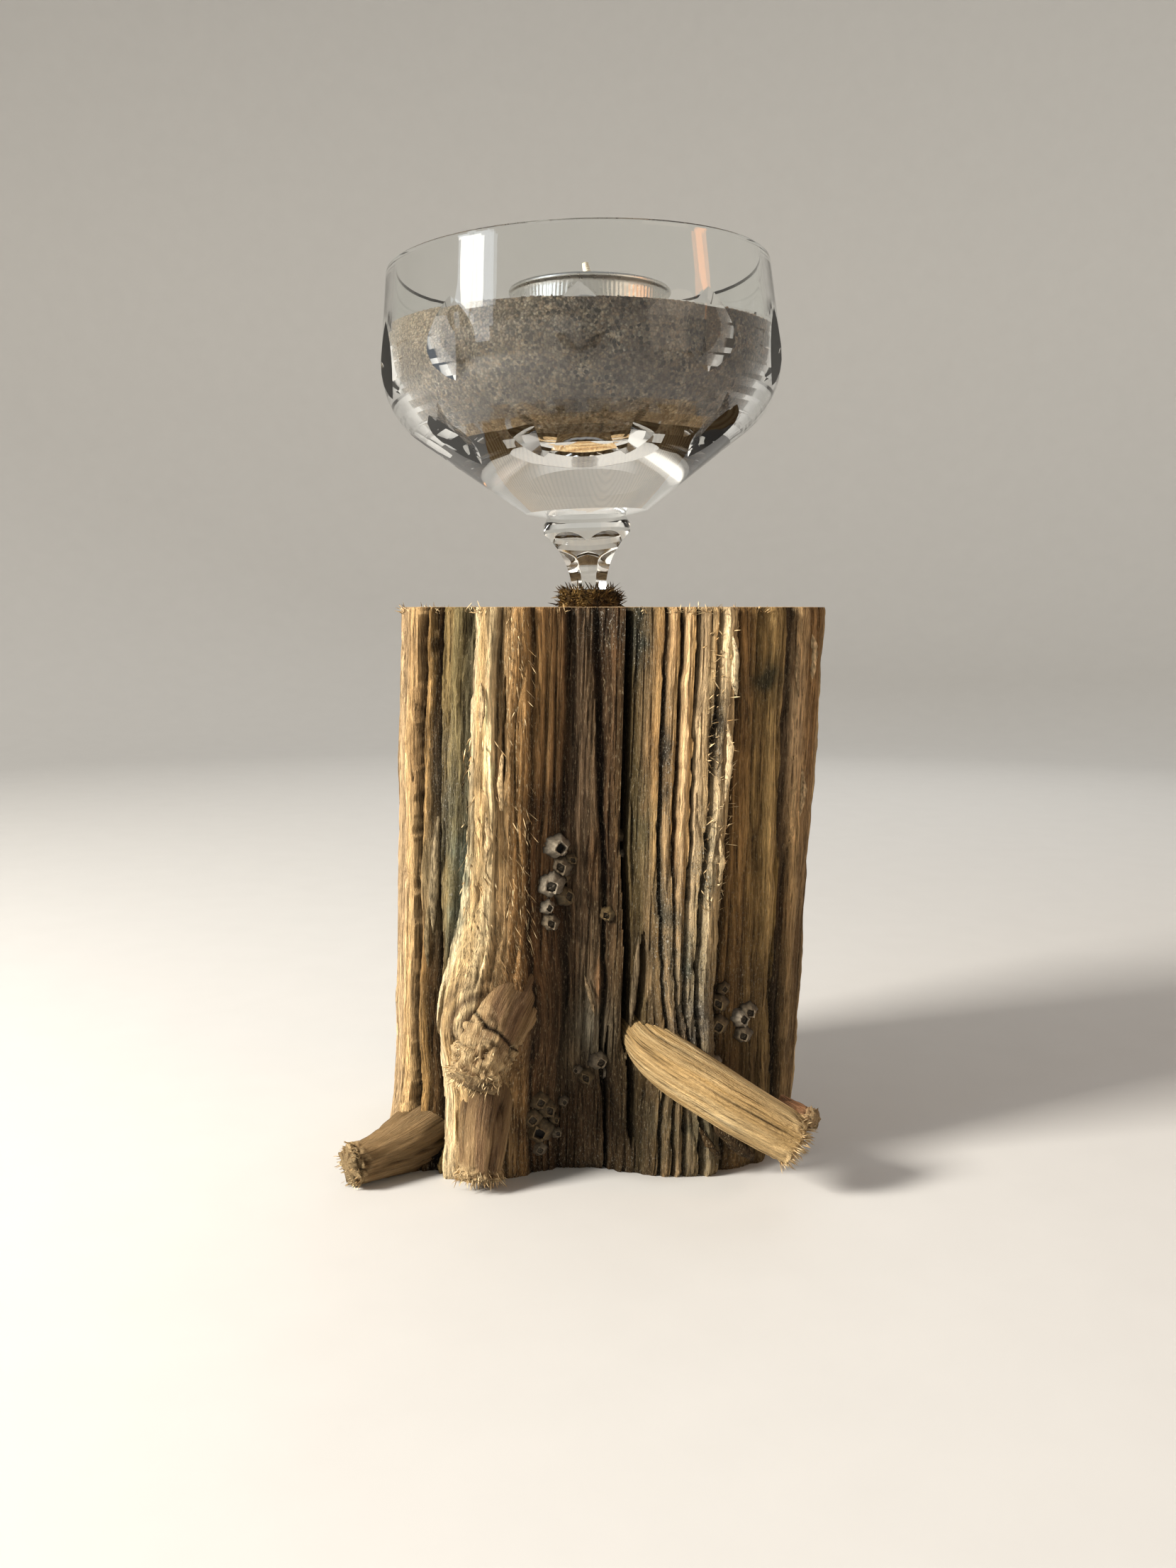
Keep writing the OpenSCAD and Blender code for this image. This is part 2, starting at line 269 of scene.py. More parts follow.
# The weathered front, read from left to right. Each line runs down the grain: its distance from the middle
# at four heights, how far it stands proud of the block in mm, and its colour. Lines close together are edges.
LINE_HEIGHTS = (125, 80, 40, 4)
LINES = [
    ((-42.0, -43.0, -43.5, -45.0), 0.2, "#C4A67E"),
    ((-37.0, -39.0, -39.0, -39.5), 0.9, "#BC9C6E"),
    ((-36.3, -38.2, -38.3, -38.8), -1.5, "#3A2818"),
    ((-35.0, -36.5, -37.4, -37.2), 0.2, "#8E7046"),
    ((-34.0, -35.2, -34.8, -35.6), -0.7, "#46341F"),
    ((-33.3, -33.8, -33.4, -33.6), -1.9, "#35281A"),
    ((-32.2, -32.6, -31.6, -32.0), 0.2, "#7E6A44"),
    ((-29.0, -30.0, -30.8, -31.0), 0.3, "#786A48"),
    ((-26.6, -27.6, -30.3, -30.8), -0.6, "#6A6148"),
    ((-24.4, -25.4, -29.9, -30.7), -1.5, "#4C4A36"),
    ((-23.8, -24.8, -29.2, -30.2), 2.4, "#DCC49A"),
    ((-21.6, -22.8, -25.0, -25.0), 2.8, "#CDAC7A"),
    ((-19.6, -20.6, -21.2, -19.5), 2.6, "#DEC496"),
    ((-18.4, -19.6, -20.0, -18.4), 1.3, "#B49468"),
    ((-13.6, -14.4, -14.8, -14.6), 1.0, "#A07C50"),
    # the lines from here to the one at 17.1 mm lie in the front hollow: their dark colours are partly the
    # wood's own and partly painted shade
    ((-12.4, -13.2, -13.4, -14.0), -0.7, "#4C3520"),
    ((-11.8, -12.4, -12.6, -13.2), -0.5, "#6E5034"),
    ((-9.0, -10.4, -11.0, -11.8), -1.0, "#72563A"),
    ((-6.6, -8.0, -9.0, -10.0), -1.2, "#5C442E"),
    ((-4.8, -5.5, -6.5, -7.5), -2.1, "#291B10"),
    ((-3.8, -4.5, -5.2, -6.2), -2.0, "#4C3C2C"),
    ((-1.6, -1.4, -1.6, -2.0), -1.6, "#6B5742"),
    ((0.8, 2.0, 2.8, 3.0), -1.2, "#5A4834"),
    ((1.5, 3.4, 3.6, 3.6), -2.2, "#26190F"),
    ((4.4, 4.6, 5.0, 5.0), -1.1, "#4A3826"),
    ((7.4, 6.6, 6.2, 6.6), -0.2, "#423220"),
    ((10.2, 9.2, 12.6, 11.2), -0.6, "#5A4A2E"),
    ((13.0, 12.4, 14.2, 13.6), 0.0, "#7A6446"),
    ((16.2, 14.5, 15.2, 15.0), 0.3, "#94774E"),
    ((17.1, 15.5, 16.1, 16.0), -0.6, "#3E3626"),
    ((18.3, 17.0, 17.0, 17.0), 0.6, "#C8A576"),
    ((19.6, 18.4, 18.0, 18.0), 0.5, "#BC9866"),
    ((20.2, 19.0, 18.6, 18.7), -0.6, "#64421F"),
    ((21.2, 20.2, 19.4, 20.0), 0.8, "#D2B082"),
    ((22.6, 22.0, 20.1, 20.8), 0.5, "#BE9966"),
    ((23.2, 22.6, 20.6, 21.3), -1.1, "#46361F"),
    ((24.0, 23.4, 21.1, 22.0), 0.8, "#D6B98E"),
    ((27.0, 24.9, 22.1, 23.8), 1.0, "#D0B282"),
    ((27.9, 25.7, 22.8, 24.6), -2.3, "#221A12"),
    ((28.8, 26.6, 24.0, 26.0), 1.9, "#E0C69A"),
    ((31.4, 29.4, 26.4, 28.4), 1.2, "#CAAC7E"),
    ((32.3, 30.3, 27.4, 29.4), -1.1, "#4A3419"),
    ((34.6, 33.0, 31.4, 32.4), -0.3, "#98764A"),
    ((38.8, 38.2, 37.6, 38.0), -0.2, "#94784C"),
    ((40.9, 40.0, 39.9, 40.0), 0.6, "#B09260"),
    ((43.2, 42.2, 41.8, 42.2), -0.3, "#8E7444"),
    ((44.8, 43.8, 43.8, 43.8), -1.1, "#3E2E18"),
    ((47.0, 46.2, 46.6, 46.0), 0.6, "#C09E6E"),
    ((50.5, 49.2, 49.2, 48.5), 0.0, "#A07C50"),
    ((57.5, 55.8, 54.5, 53.0), -0.4, "#8C6A40"),
]
# The sides and the back, as a ramp from the grooves to the crests
BARK_TONES = ["#3E3024", "#6B563C", "#8F7C5A", "#B09870", "#CDB48A"]
# Drying cracks: points (across, height) down each, its half width and its depth in mm
CRACKS = [
    ([(9.0, 128), (8.4, 106), (8.0, 84), (7.9, 71), (8.8, 53), (8.6, 40), (8.2, 30)], 1.05, 7.0),
    ([(12.4, 55), (12.1, 42), (10.8, 33), (9.4, 26), (9.8, 18), (9.6, 8)], 0.95, 7.0),
    ([(4.4, 33), (3.9, 27), (4.2, 16), (3.8, 4)], 0.4, 3.0),
    ([(-34.0, 60), (-33.0, 40), (-32.6, 20), (-32.8, 4)], 1.0, 4.0),
    ([(-29.2, 44), (-30.0, 36), (-31.8, 26)], 0.6, 3.0),
    ([(-17.6, 112), (-18.3, 100), (-18.6, 88)], 0.35, 2.0),
    ([(41.2, 60), (42.0, 40), (43.0, 20), (42.6, 0)], 0.7, 3.0),
]
# Dark stains with salt on them: (across, height, half width, half height, colour, strength, salt)
STAINS = [
    (39.5, 112, 4.2, 4.6, "#3A3A2C", 0.8, 0.1),
    (11.0, 122, 2.2, 9.0, "#3C4038", 0.75, 0.9),
    (3.0, 126, 5.0, 7.0, "#3B332A", 0.7, 0.9),
    (27.0, 100, 1.6, 9.0, "#2C2A26", 0.85, 1.0),
    (17.4, 95, 1.4, 12.0, "#3A3832", 0.7, 0.9),
    (25.0, 72, 2.6, 13.0, "#3E4038", 0.6, 1.0),
    (17.0, 60, 3.2, 14.0, "#4A483E", 0.6, 1.0),
    (21.4, 47, 4.0, 14.0, "#5A5D50", 0.55, 1.0),
    (23.0, 36, 5.0, 9.0, "#4A4846", 0.6, 0.8),
    (11.5, 80, 3.0, 16.0, "#504A34", 0.5, 0.2),
    (34.0, 62, 5.0, 13.0, "#5C4526", 0.55, 0.1),
    (36.0, 44, 6.0, 10.0, "#4A3822", 0.55, 0.2),
    (-9.0, 60, 5.0, 6.0, "#4A3420", 0.6, 0.1),
    (-9.5, 84, 5.0, 5.0, "#3A2A1C", 0.6, 0.2),
    (-28.0, 66, 4.5, 18.0, "#5F6A5C", 0.6, 0.3),
    (-32.0, 88, 3.2, 16.0, "#4C4A40", 0.5, 0.5),
    (-12.0, 10, 9.0, 11.0, "#3A2A1A", 0.55, 0.1),
    (0.0, 14, 8.0, 10.0, "#4A3420", 0.45, 0.1),
    (22.0, 12, 12.0, 10.0, "#4C4838", 0.55, 0.3),
]
# Lobes that swell out of the face: (across, height, half width, half height, swell, colour, strength)
LOBES = [
    (-12.0, 114, 4.6, 24.0, 0.3, "#B08A5A", 0.7),
    (46.0, 104, 3.0, 22.0, 0.3, "#C2A480", 0.5),
    (50.0, 60, 4.0, 30.0, 0.2, "#A88E6A", 0.5),
    (0.6, 33, 3.6, 7.5, 1.8, "#A39A84", 0.8),
    (-3.8, 26, 3.0, 6.5, 1.2, "#85745A", 0.5),
    (-35.6, 66, 1.8, 13.0, 1.2, "#94805E", 0.8),
    (2.6, 44, 1.0, 5.0, 1.0, "#9C7450", 0.8),
    (-13.0, 34, 4.0, 9.0, 1.6, "#5E4A38", 0.5),
    (36.5, 20, 3.0, 30.0, 0.6, "#8A744A", 0.3),
]
# Places that the grain flows round: (across, height, half width, half height)
KNOTS = [(-20.5, 38.0, 12.0, 13.0), (12.0, 29.0, 8.0, 9.0)]


def line_tables(z):
    """The place of every line at each height, and its relief and colour."""
    levels = np.array(LINE_HEIGHTS[::-1], dtype=float)
    places = np.array([line[0][::-1] for line in LINES])
    at_z = np.stack([np.interp(z, levels, row) for row in places], axis=1)
    heights = np.array([line[1] for line in LINES])
    colours = np.array([linear(line[2])[:3] for line in LINES])
    return at_z, heights, colours


def across_lines(x, z):
    """Relief and colour of the weathered front at each (x, z), row by row."""
    relief, colour = np.zeros_like(x), np.zeros(x.shape + (3,))
    at_z, heights, colours = line_tables(z[:, 0])
    steps = np.arange(len(heights))
    for j in range(x.shape[0]):
        place = np.interp(x[j], at_z[j], steps)
        whole = np.floor(place)
        # steeper edges between one line and the next
        place = whole + smooth_step(0.22, 0.78, place - whole)
        relief[j] = np.interp(place, steps, heights)
        for k in range(3):
            colour[j, :, k] = np.interp(place, steps, colours[:, k])
    return relief, colour


def near_path(x, z, path, half):
    """1 on the path's line and 0 beyond its half width, tapering at both ends."""
    path = sorted(path, key=lambda p: p[1])
    heights = [p[1] for p in path]
    middle = np.interp(z, heights, [p[0] for p in path])
    taper = smooth_step(heights[0] - 2, heights[0] + 4, z)
    if heights[-1] < 120:
        taper = taper * (1 - smooth_step(heights[-1] - 4, heights[-1] + 2, z))
    width = half * (0.35 + 0.65 * taper)
    return np.clip(1 - np.abs(x - middle) / width, 0, 1) * taper


def spot(x, z, cx, cz, half_w, half_h):
    """A soft round spot, 1 in its middle."""
    return np.exp(-(((x - cx) / half_w) ** 2) - ((z - cz) / half_h) ** 2)


def trunk_angles():
    """Columns round the block, close together on the detailed front and wider apart on the rest."""
    front = np.linspace(FRONT[0] - 8, FRONT[1] + 4, FRONT_COLUMNS, endpoint=False)
    rest = np.linspace(FRONT[1] + 4, FRONT[0] - 8 + 360, REST_COLUMNS, endpoint=False)
    return np.concatenate([front, rest])


def block_outline(angles):
    """The block's radius at each angle in degrees, smooth through RADII."""
    ring = np.array(RADII, dtype=float)
    place = (angles % 360) / RADII_STEP
    i = np.floor(place).astype(int)
    return catmull(*(ring[(i + step) % len(ring)] for step in (-1, 0, 1, 2)), place - i)


def mix(colour, other, amount):
    """Lays a hex colour over an array of colours."""
    return colour * (1 - amount[..., None]) + np.array(linear(other)[:3]) * amount[..., None]


def toned(share, tones):
    """Colours along a list of hex tones, from its first at 0 to its last at 1."""
    values = np.array([linear(tone)[:3] for tone in tones])
    at = np.clip(share, 0, 1) * (len(tones) - 1)
    return np.stack([np.interp(at, range(len(tones)), values[:, k]) for k in range(3)], axis=-1)


def hollowness(relief, reach):
    """How far each point lies below the mean of its neighbours across the grain."""
    mean = sum(np.roll(relief, k, axis=1) for k in range(-reach, reach + 1)) / (2 * reach + 1)
    return mean - relief


def trunk_surface(flute_depth, crack_scale):
    """Points of the trunk's side on a grid, with its colour, salt and fray at every point."""
    angles = trunk_angles()
    heights = np.linspace(0, BLOCK_H, TRUNK_ROWS)
    a, z = np.meshgrid(angles, heights)
    away = (a + 4 + 180) % 360 - 180
    base = block_outline(a) - RIGHT_TAPER * np.exp(-((away / 34) ** 2)) * (1 - z / BLOCK_H)
    shift = -LEAN * (1 - z / BLOCK_H)
    x = base * np.cos(np.radians(a)) + shift
    around = (a - angles[0]) / 360

    def pattern(cells_round, height, seed, octaves):
        """Noise on the trunk: so many cells round it, each so many mm high."""
        return layered(around * cells_round, z / height, seed, octaves, cells_round)

    # the grain wanders a little on its way down and parts round the knots
    wander = 0.8 * pattern(24, 34, 11, 2) + 0.35 * pattern(90, 14, 13, 2)
    across = x + wander + 0.22 * pattern(260, 2.6, 15, 2)
    for cx, cz, half_w, half_h in KNOTS:
        across = across - 0.40 * (x - cx) * spot(x, z, cx, cz, half_w, half_h)
    relief, colour = across_lines(across, z)
    relief = relief * 1.15
    flute = pattern(60, 70, 21, 3)
    ridged = 1 - 2 * np.abs(pattern(44, 60, 31, 3))
    fine = pattern(330, 16, 41, 2)
    hair = lattice(around * 900, z / 7, 45, 900)
    rough = pattern(120, 5, 51, 3)
    slip = np.floor(3.2 * pattern(130, 26, 57, 3)) / 3.2
    groove = np.clip(1 - np.abs(pattern(96, 48, 63, 2)) * 6.5, 0, 1)
    groove = groove + 0.7 * np.clip(1 - np.abs(pattern(210, 30, 66, 2)) * 4.5, 0, 1)
    rest_relief = 1.5 * flute_depth * ridged + 1.2 * flute_depth * flute
    rest_colour = toned(0.5 + 0.34 * ridged + 0.3 * flute + 0.12 * fine, BARK_TONES)
    greyed = smooth_step(0.1, 0.7, pattern(10, 40, 61, 2))
    rest_colour = mix(rest_colour, "#5A5746", 0.5 * greyed)
    front = smooth_step(FRONT[0] - 7, FRONT[0], a) * (1 - smooth_step(FRONT[1] - 8, FRONT[1] + 3, a))
    relief = relief * front + rest_relief * (1 - front)
    colour = colour * front[..., None] + rest_colour * (1 - front[..., None])
    fray = front * spot(x, z, -15.5, 90, 2.6, 60) + 0.25 + 0.5 * front * spot(x, z, -22, 20, 8, 30)
    salt = 0.06 + 0.3 * smooth_step(10, 0, z)
    for cx, cz, half_w, half_h, swell, tone, strength in LOBES:
        here = front * spot(x + wander, z, cx, cz, half_w, half_h)
        relief = relief + swell * here
        colour = mix(colour, tone, np.clip(here * strength * 1.3, 0, 1))
    # streaks of light and dark wood, then blotches of weathering over them
    streak = pattern(210, 30, 81, 3)
    warm = pattern(56, 24, 85, 2)
    colour = colour * (1 + 0.42 * streak + 0.20 * hair)[..., None]
    colour = mix(colour, "#6E4C2C", np.clip(0.8 * warm - 0.15, 0, 0.4))
    blotch = pattern(36, 9, 87, 4)
    colour = mix(colour, "#3B3127", np.clip(0.75 * (blotch - 0.18), 0, 0.55))
    # the front darkens towards its bottom, more so on its right
    low = smooth_step(84, 26, z + 16 * pattern(20, 20, 89, 2))
    colour = mix(colour, "#3A3122", 0.62 * low * front * smooth_step(-34, 6, x))
    patchy = 0.65 + 0.6 * pattern(150, 4, 71, 3)
    for cx, cz, half_w, half_h, tone, strength, crust in STAINS:
        here = front * spot(x + wander, z, cx, cz, half_w, half_h)
        colour = mix(colour, tone, np.clip(here * strength * patchy * 1.7, 0, 0.92))
        salt = salt + crust * here
    # rings of grain round the front knot
    ring = np.hypot(x + 20.5, (z - 38) / 1.15)
    waver = 2.2 * pattern(40, 12, 95, 2)
    swirl = np.sin(ring * 2.1 + waver) * front * np.exp(-((ring / 10) ** 4))
    burr = 0.75 * np.exp(-((ring / 9) ** 4)) * front * (0.75 - 0.5 * swirl)
    colour = mix(colour, "#4A3626", np.clip(burr, 0, 1))
    relief = relief + 0.14 * swirl
    relief = relief + 0.22 * fine + 0.14 * rough + 0.30 * slip - 0.55 * groove + 0.3 * (1 - front) * rough
    depth = np.zeros_like(x)
    for path, half, deep in CRACKS:
        inside = front * near_path(x + 0.4 * wander, z, path, half)
        depth = np.maximum(depth, deep * crack_scale * np.sqrt(inside) * (inside > 0.02))
        # painted shade: the cracks are painted near black inside
        colour = mix(colour, "#0E0A07", np.clip(inside * 2.2, 0, 1))
        salt = salt * (1 - np.clip(inside * 3, 0, 1))
    # painted shade: the colour is darkened where the skin lies below its neighbours across the grain
    hollow = hollowness(relief, 4) + 0.7 * hollowness(relief, 14)
    shade = np.clip(1 - 0.55 * hollow, 0.22, 1.3)
    colour = np.clip(colour * shade[..., None], 0, 1)
    knot = 6.0 * np.exp(-(((a - KNOT_AT) / 12) ** 2)) * np.exp(-(((z - 40) / 13) ** 2))
    knot = knot + 2.0 * np.exp(-(((a - TOE_AT) / 8) ** 2)) * smooth_step(42, 34, z)
    flare = 7 * np.exp(-z / 11) * np.exp(-(((a - ROOT_AT) / 13) ** 2))
    worn = np.exp(-z / 1.2) + 0.4 * np.exp(-(BLOCK_H - z) / 0.5)
    radius = base + relief + knot + flare - depth - worn
    points = np.stack([radius * np.cos(np.radians(a)) + shift, radius * np.sin(np.radians(a)), z], axis=-1)
    flow = points.copy()
    flow[..., 0] += across - x
    return points, colour, np.clip(salt, 0, 1), np.clip(fray, 0, 1), flow


def sawn_end(ring, inner, z, rows, up):
    """Rings of points from the block's edge in to a small inner ring."""
    points = []
    for t in np.linspace(0, 1, rows + 1)[1:]:
        flat = ring[:, :2] * (1 - t) + inner * t
        fibre = 0.10 * lattice(flat[:, 0] * 2.2 + 300, flat[:, 1] * 2.2 + 300, 91)
        points.append(np.column_stack([flat, z + (fibre if up else 0.3 * np.abs(fibre))]))
    return np.vstack(points)


def stub_skin(sides, rings, seed, amount, tones, torn_from):
    """Roughness and colour of a stub: long grain, open cracks along it, and a torn pale end."""
    turns, along = np.meshgrid(np.arange(sides) / sides, np.linspace(0, 1, rings))

    def pattern(cells_round, cells_along, noise_seed, octaves):
        """Noise on the stub: so many cells round it and along it."""
        return layered(turns * cells_round, along * cells_along, noise_seed, octaves, cells_round)

    grain = pattern(14, 2.5, seed, 2)
    fine = pattern(44, 7, seed + 5, 2)
    split = np.clip(1 - np.abs(pattern(9, 1.2, seed + 9, 1)) * 16, 0, 1)
    ragged = along + 0.16 * pattern(7, 5, seed + 2, 2)
    torn = smooth_step(torn_from - 0.05, torn_from + 0.12, ragged)
    crumb = pattern(26, 26, seed + 3, 3)
    # a crack runs round where a long torn end starts
    past = along - torn_from - 0.10 * pattern(6, 3, seed + 7, 1)
    mouth = np.exp(-((past / 0.012) ** 2)) * (torn_from < 0.8)
    cork = np.clip(1 - np.abs(pattern(9, 17, seed + 11, 1)) * 10, 0, 1) * torn
    relief = amount * (grain + 0.45 * fine - 1.6 * split * (1 - torn)) + torn * 1.5 * crumb
    relief = relief - 0.5 * mouth - 0.7 * cork
    streak = 0.5 + 0.5 * pattern(16, 1.6, seed, 3) + 0.22 * fine
    colour = toned(streak + 0.1, tones)
    # painted shade: each stub is darker near the trunk, where shade falls at its base
    colour = colour * (0.58 + 0.42 * smooth_step(0.08, 0.62, along))[..., None]
    # painted shade: the open cracks along the stub are painted dark
    colour = mix(colour, "#2A1D12", 0.85 * split * (1 - torn))
    colour = mix(colour, "#C9AE82", torn * np.clip(0.55 + 0.6 * crumb, 0, 1))
    colour = mix(colour, "#5A3E24", torn * np.clip(-0.2 - 1.6 * crumb, 0, 0.9))
    # painted shade: the crack round the torn end and the cracks across it are painted near black
    colour = mix(colour, "#120C08", np.clip(mouth * 1.2 + 0.85 * cork, 0, 1))
    colour = colour.reshape(-1, 3)
    # painted shade: the cap at the trunk end is darker still
    return relief, np.vstack([colour, colour[:1] * 0.6, colour[-1:]]), torn


GOLD_TONES = ["#765A36", "#AC8C5A", "#C2A270", "#CEB282", "#D8C298"]
ROOT_TONES = ["#4A3828", "#806848", "#A0835C", "#AC906A"]
KNOB_TONES = ["#6A4A34", "#93694A", "#B48C68"]
KNOT_TONES = ["#4A3828", "#7A6046", "#9A7E5A", "#B89C74"]
# Each stub: name, path, radii, sides, rings, seed, roughness, tones, where its torn end starts
STUBS = [
    ("branch", [(9, -22, 35), (16, -35.5, 28.6), (30, -42.2, 20.6), (45.3, -45.4, 12.4)],
     [4.6, 6.0, 6.1, 5.6], 96, 130, 301, 0.26, GOLD_TONES, 0.90),
    ("root", [(-33, -20, 9), (-42, -31, 6.4), (-48.5, -37.4, 5.3), (-53.5, -41.2, 5.0)],
     [8.6, 6.4, 4.7, 4.2], 64, 70, 321, 0.62, ROOT_TONES, 0.82),
    ("spur", [(42, -40, 17.5), (46.5, -43, 17.0), (49.2, -45, 17.6)],
     [3.4, 2.6, 2.0], 28, 24, 341, 0.35, KNOB_TONES, 0.7),
    ("knot", [(-15, -20, 52), (-18.5, -32, 42), (-22, -39.5, 34.5), (-25.2, -45.8, 25.5)],
     [8.0, 8.3, 7.2, 5.4], 96, 110, 361, 0.6, KNOT_TONES, 0.66),
    ("toe", [(-22, -33, 26), (-23.6, -38, 16), (-24.2, -41, 8), (-24.4, -42.4, 2.6)],
     [5.5, 5.6, 5.0, 4.3], 64, 70, 381, 0.5, KNOT_TONES, 0.81),
]

# How far each stub has been rubbed smooth, from open grain (0) to smooth (1). The trunk isn't rubbed at all.
WORN = {"branch": 0.42, "root": 0.6, "spur": 0.3, "knot": 0.4, "toe": 0.45}


def stub_mesh(path, radii, sides, rings, seed, amount, tones, torn_from):
    """One stub as a closed mesh, with the colour, fray and grain of every point."""
    relief, colour, torn = stub_skin(sides, rings, seed, amount, tones, torn_from)
    points, faces = tube(path, radii, sides, rings, relief, cap_bulge=0.25)
    points[:, 2] = np.maximum(points[:, 2], FLOOR_GAP)
    frays = np.append(0.15 + 0.75 * torn.ravel(), [0.2, 0.8])
    # the grain's own frame: round the stub and along it
    turn, along = np.meshgrid(angles_round(sides), np.linspace(0, 1, rings))
    length = sum(np.linalg.norm(np.subtract(b, a)) for a, b in zip(path, path[1:]))
    flow = np.stack([radii[0] * np.cos(turn), radii[0] * np.sin(turn), along * length + seed], axis=-1)
    flow = np.vstack([flow.reshape(-1, 3), [0, 0, seed], [0, 0, length + seed]])
    return points, faces, colour, frays, flow * MM


def driftwood_mesh(flute_depth, crack_scale):
    """The trunk as one mesh: weathered side, two sawn ends and the bored socket."""
    side, tone, salt, fray, flow = trunk_surface(flute_depth, crack_scale)
    rows, columns = side.shape[:2]
    points, tones = [side.reshape(-1, 3)], [tone.reshape(-1, 3)]
    salts, frays, flows = [salt.ravel()], [fray.ravel()], [flow.reshape(-1, 3)]
    faces = grid_faces(rows, columns)
    angle = np.radians(trunk_angles())
    circle = np.column_stack([np.cos(angle), np.sin(angle)])
    side_faces = len(faces)
    count = rows * columns

    def attach(new, tone_hex, last_row, flip):
        """Joins more rows of points to the last row, in one tone, and gives the new last row."""
        nonlocal count
        for j in range(len(new) // columns):
            here = count + j * columns
            for i in range(columns):
                k = (i + 1) % columns
                face = [last_row + i, last_row + k, here + k, here + i]
                faces.append(face[::-1] if flip else face)
            last_row = here
        points.append(new)
        flows.append(new)
        tones.append(np.tile(linear(tone_hex)[:3], (len(new), 1)))
        salts.append(np.zeros(len(new)))
        frays.append(np.full(len(new), 0.3))
        count += len(new)
        return last_row

    top = attach(sawn_end(side[-1], circle * SOCKET_R, BLOCK_H, 10, True), "#D2B48A",
                 (rows - 1) * columns, False)
    walls = [np.column_stack([circle * SOCKET_R * s, np.full(columns, BLOCK_H - d)])
             for s, d in ((1, 4), (1, SOCKET_DEPTH), (0.02, SOCKET_DEPTH))]
    attach(np.vstack(walls), "#7A5C3A", top, False)
    foot_mid = np.array([-LEAN, 0.0])
    attach(sawn_end(side[0], circle * 0.3 + foot_mid, 0.0, 5, False), "#A98860", 0, True)
    values = {"tone": np.vstack(tones), "salt": np.concatenate(salts), "fray": np.concatenate(frays)}
    return np.vstack(points), faces, values, np.vstack(flows) * MM, side_faces


def store(made, name, values, kind="COLOR"):
    """Stores one number, vector or colour for every point of a mesh."""
    if kind == "VECTOR":
        layer = made.data.attributes.new(name, "FLOAT_VECTOR", "POINT")
        layer.data.foreach_set("vector", np.asarray(values).ravel().astype(np.float32))
    elif values.ndim == 2:
        layer = made.data.color_attributes.new(name, "FLOAT_COLOR", "POINT")
        full = np.column_stack([values, np.ones(len(values))])
        layer.data.foreach_set("color", full.ravel().astype(np.float32))
    else:
        layer = made.data.attributes.new(name, "FLOAT", "POINT")
        layer.data.foreach_set("value", values.astype(np.float32))


# ---------------------------------------------------------------- materials


def blank_material(name):
    """A new material with an empty node tree."""
    material = bpy.data.materials.new(name)
    material.use_nodes = True
    tree = material.node_tree
    tree.nodes.clear()
    return material, tree


def surface(tree, colour, roughness, **inputs):
    """Gives a material its shader. inputs are its other ones, with _ for the spaces in their names."""
    others = {name.replace("_", " "): value for name, value in inputs.items()}
    shader = add(tree, "ShaderNodeBsdfPrincipled", {"Base Color": colour, "Roughness": roughness, **others})
    add(tree, "ShaderNodeOutputMaterial", {"Surface": shader.outputs[0]})


def object_place(tree):
    """Each point's place in metres."""
    return add(tree, "ShaderNodeTexCoord").outputs["Object"]


def attribute(tree, name, output):
    """A value stored on the mesh, read as Color, Vector or Fac."""
    return add(tree, "ShaderNodeAttribute", attribute_name=name).outputs[output]


def noise(tree, place, scale, output="Fac", **inputs):
    """Noise at a place. inputs are the node's other ones, such as Detail."""
    return add(tree, "ShaderNodeTexNoise", {"Vector": place, "Scale": scale, **inputs}).outputs[output]


def cells(tree, place, size):
    """Cells of about a size in mm. Gives the outputs, such as Color and Distance."""
    return add(tree, "ShaderNodeTexVoronoi", {"Vector": place, "Scale": 1 / (size * MM)}).outputs


def channels(tree, colour):
    """The three channels of a colour."""
    return add(tree, "ShaderNodeSeparateColor", {"Color": colour}).outputs


def stretched(tree, per_mm, along_mm, detail, rough=0.6, flow=None):
    """Noise drawn out along the grain: its size across and along, in mm. flow is an attribute in metres."""
    place = attribute(tree, flow, "Vector") if flow else object_place(tree)
    scale = (1 / (per_mm * MM), 1 / (per_mm * MM), 1 / (along_mm * MM))
    turned = add(tree, "ShaderNodeMapping", {"Vector": place, "Scale": scale}).outputs[0]
    return noise(tree, turned, 1.0, Detail=detail, Roughness=rough)


def between(tree, value, low, high, to_low=0.0, to_high=1.0):
    """Maps a value from one range to another, clamped."""
    links = {"Value": value, "From Min": low, "From Max": high, "To Min": to_low, "To Max": to_high}
    return add(tree, "ShaderNodeMapRange", links).outputs[0]


def times(tree, a, b):
    """The product of two numbers."""
    return add(tree, "ShaderNodeMath", {0: a, 1: b}, operation="MULTIPLY").outputs[0]


def plus(tree, a, b):
    """The sum of two numbers."""
    return add(tree, "ShaderNodeMath", {0: a, 1: b}, operation="ADD").outputs[0]


def vectors(tree, operation, a, b):
    """One step of arithmetic on vectors. b is a number when they are scaled."""
    second = "Scale" if operation == "SCALE" else 1
    return add(tree, "ShaderNodeVectorMath", {0: a, second: b}, operation=operation).outputs[0]


def grey(tree, value):
    """A grey of the given brightness."""
    return add(tree, "ShaderNodeCombineColor", {0: value, 1: value, 2: value}).outputs[0]


def blended(tree, factor, a, b, how="MIX"):
    """Mixes two colours. Each is a socket or a linear colour."""
    made = tree.nodes.new("ShaderNodeMix")
    made.data_type, made.blend_type = "RGBA", how
    for index, value in ((0, factor), (6, a), (7, b)):
        if isinstance(value, bpy.types.NodeSocket):
            tree.links.new(value, made.inputs[index])
        else:
            made.inputs[index].default_value = value
    return made.outputs[2]


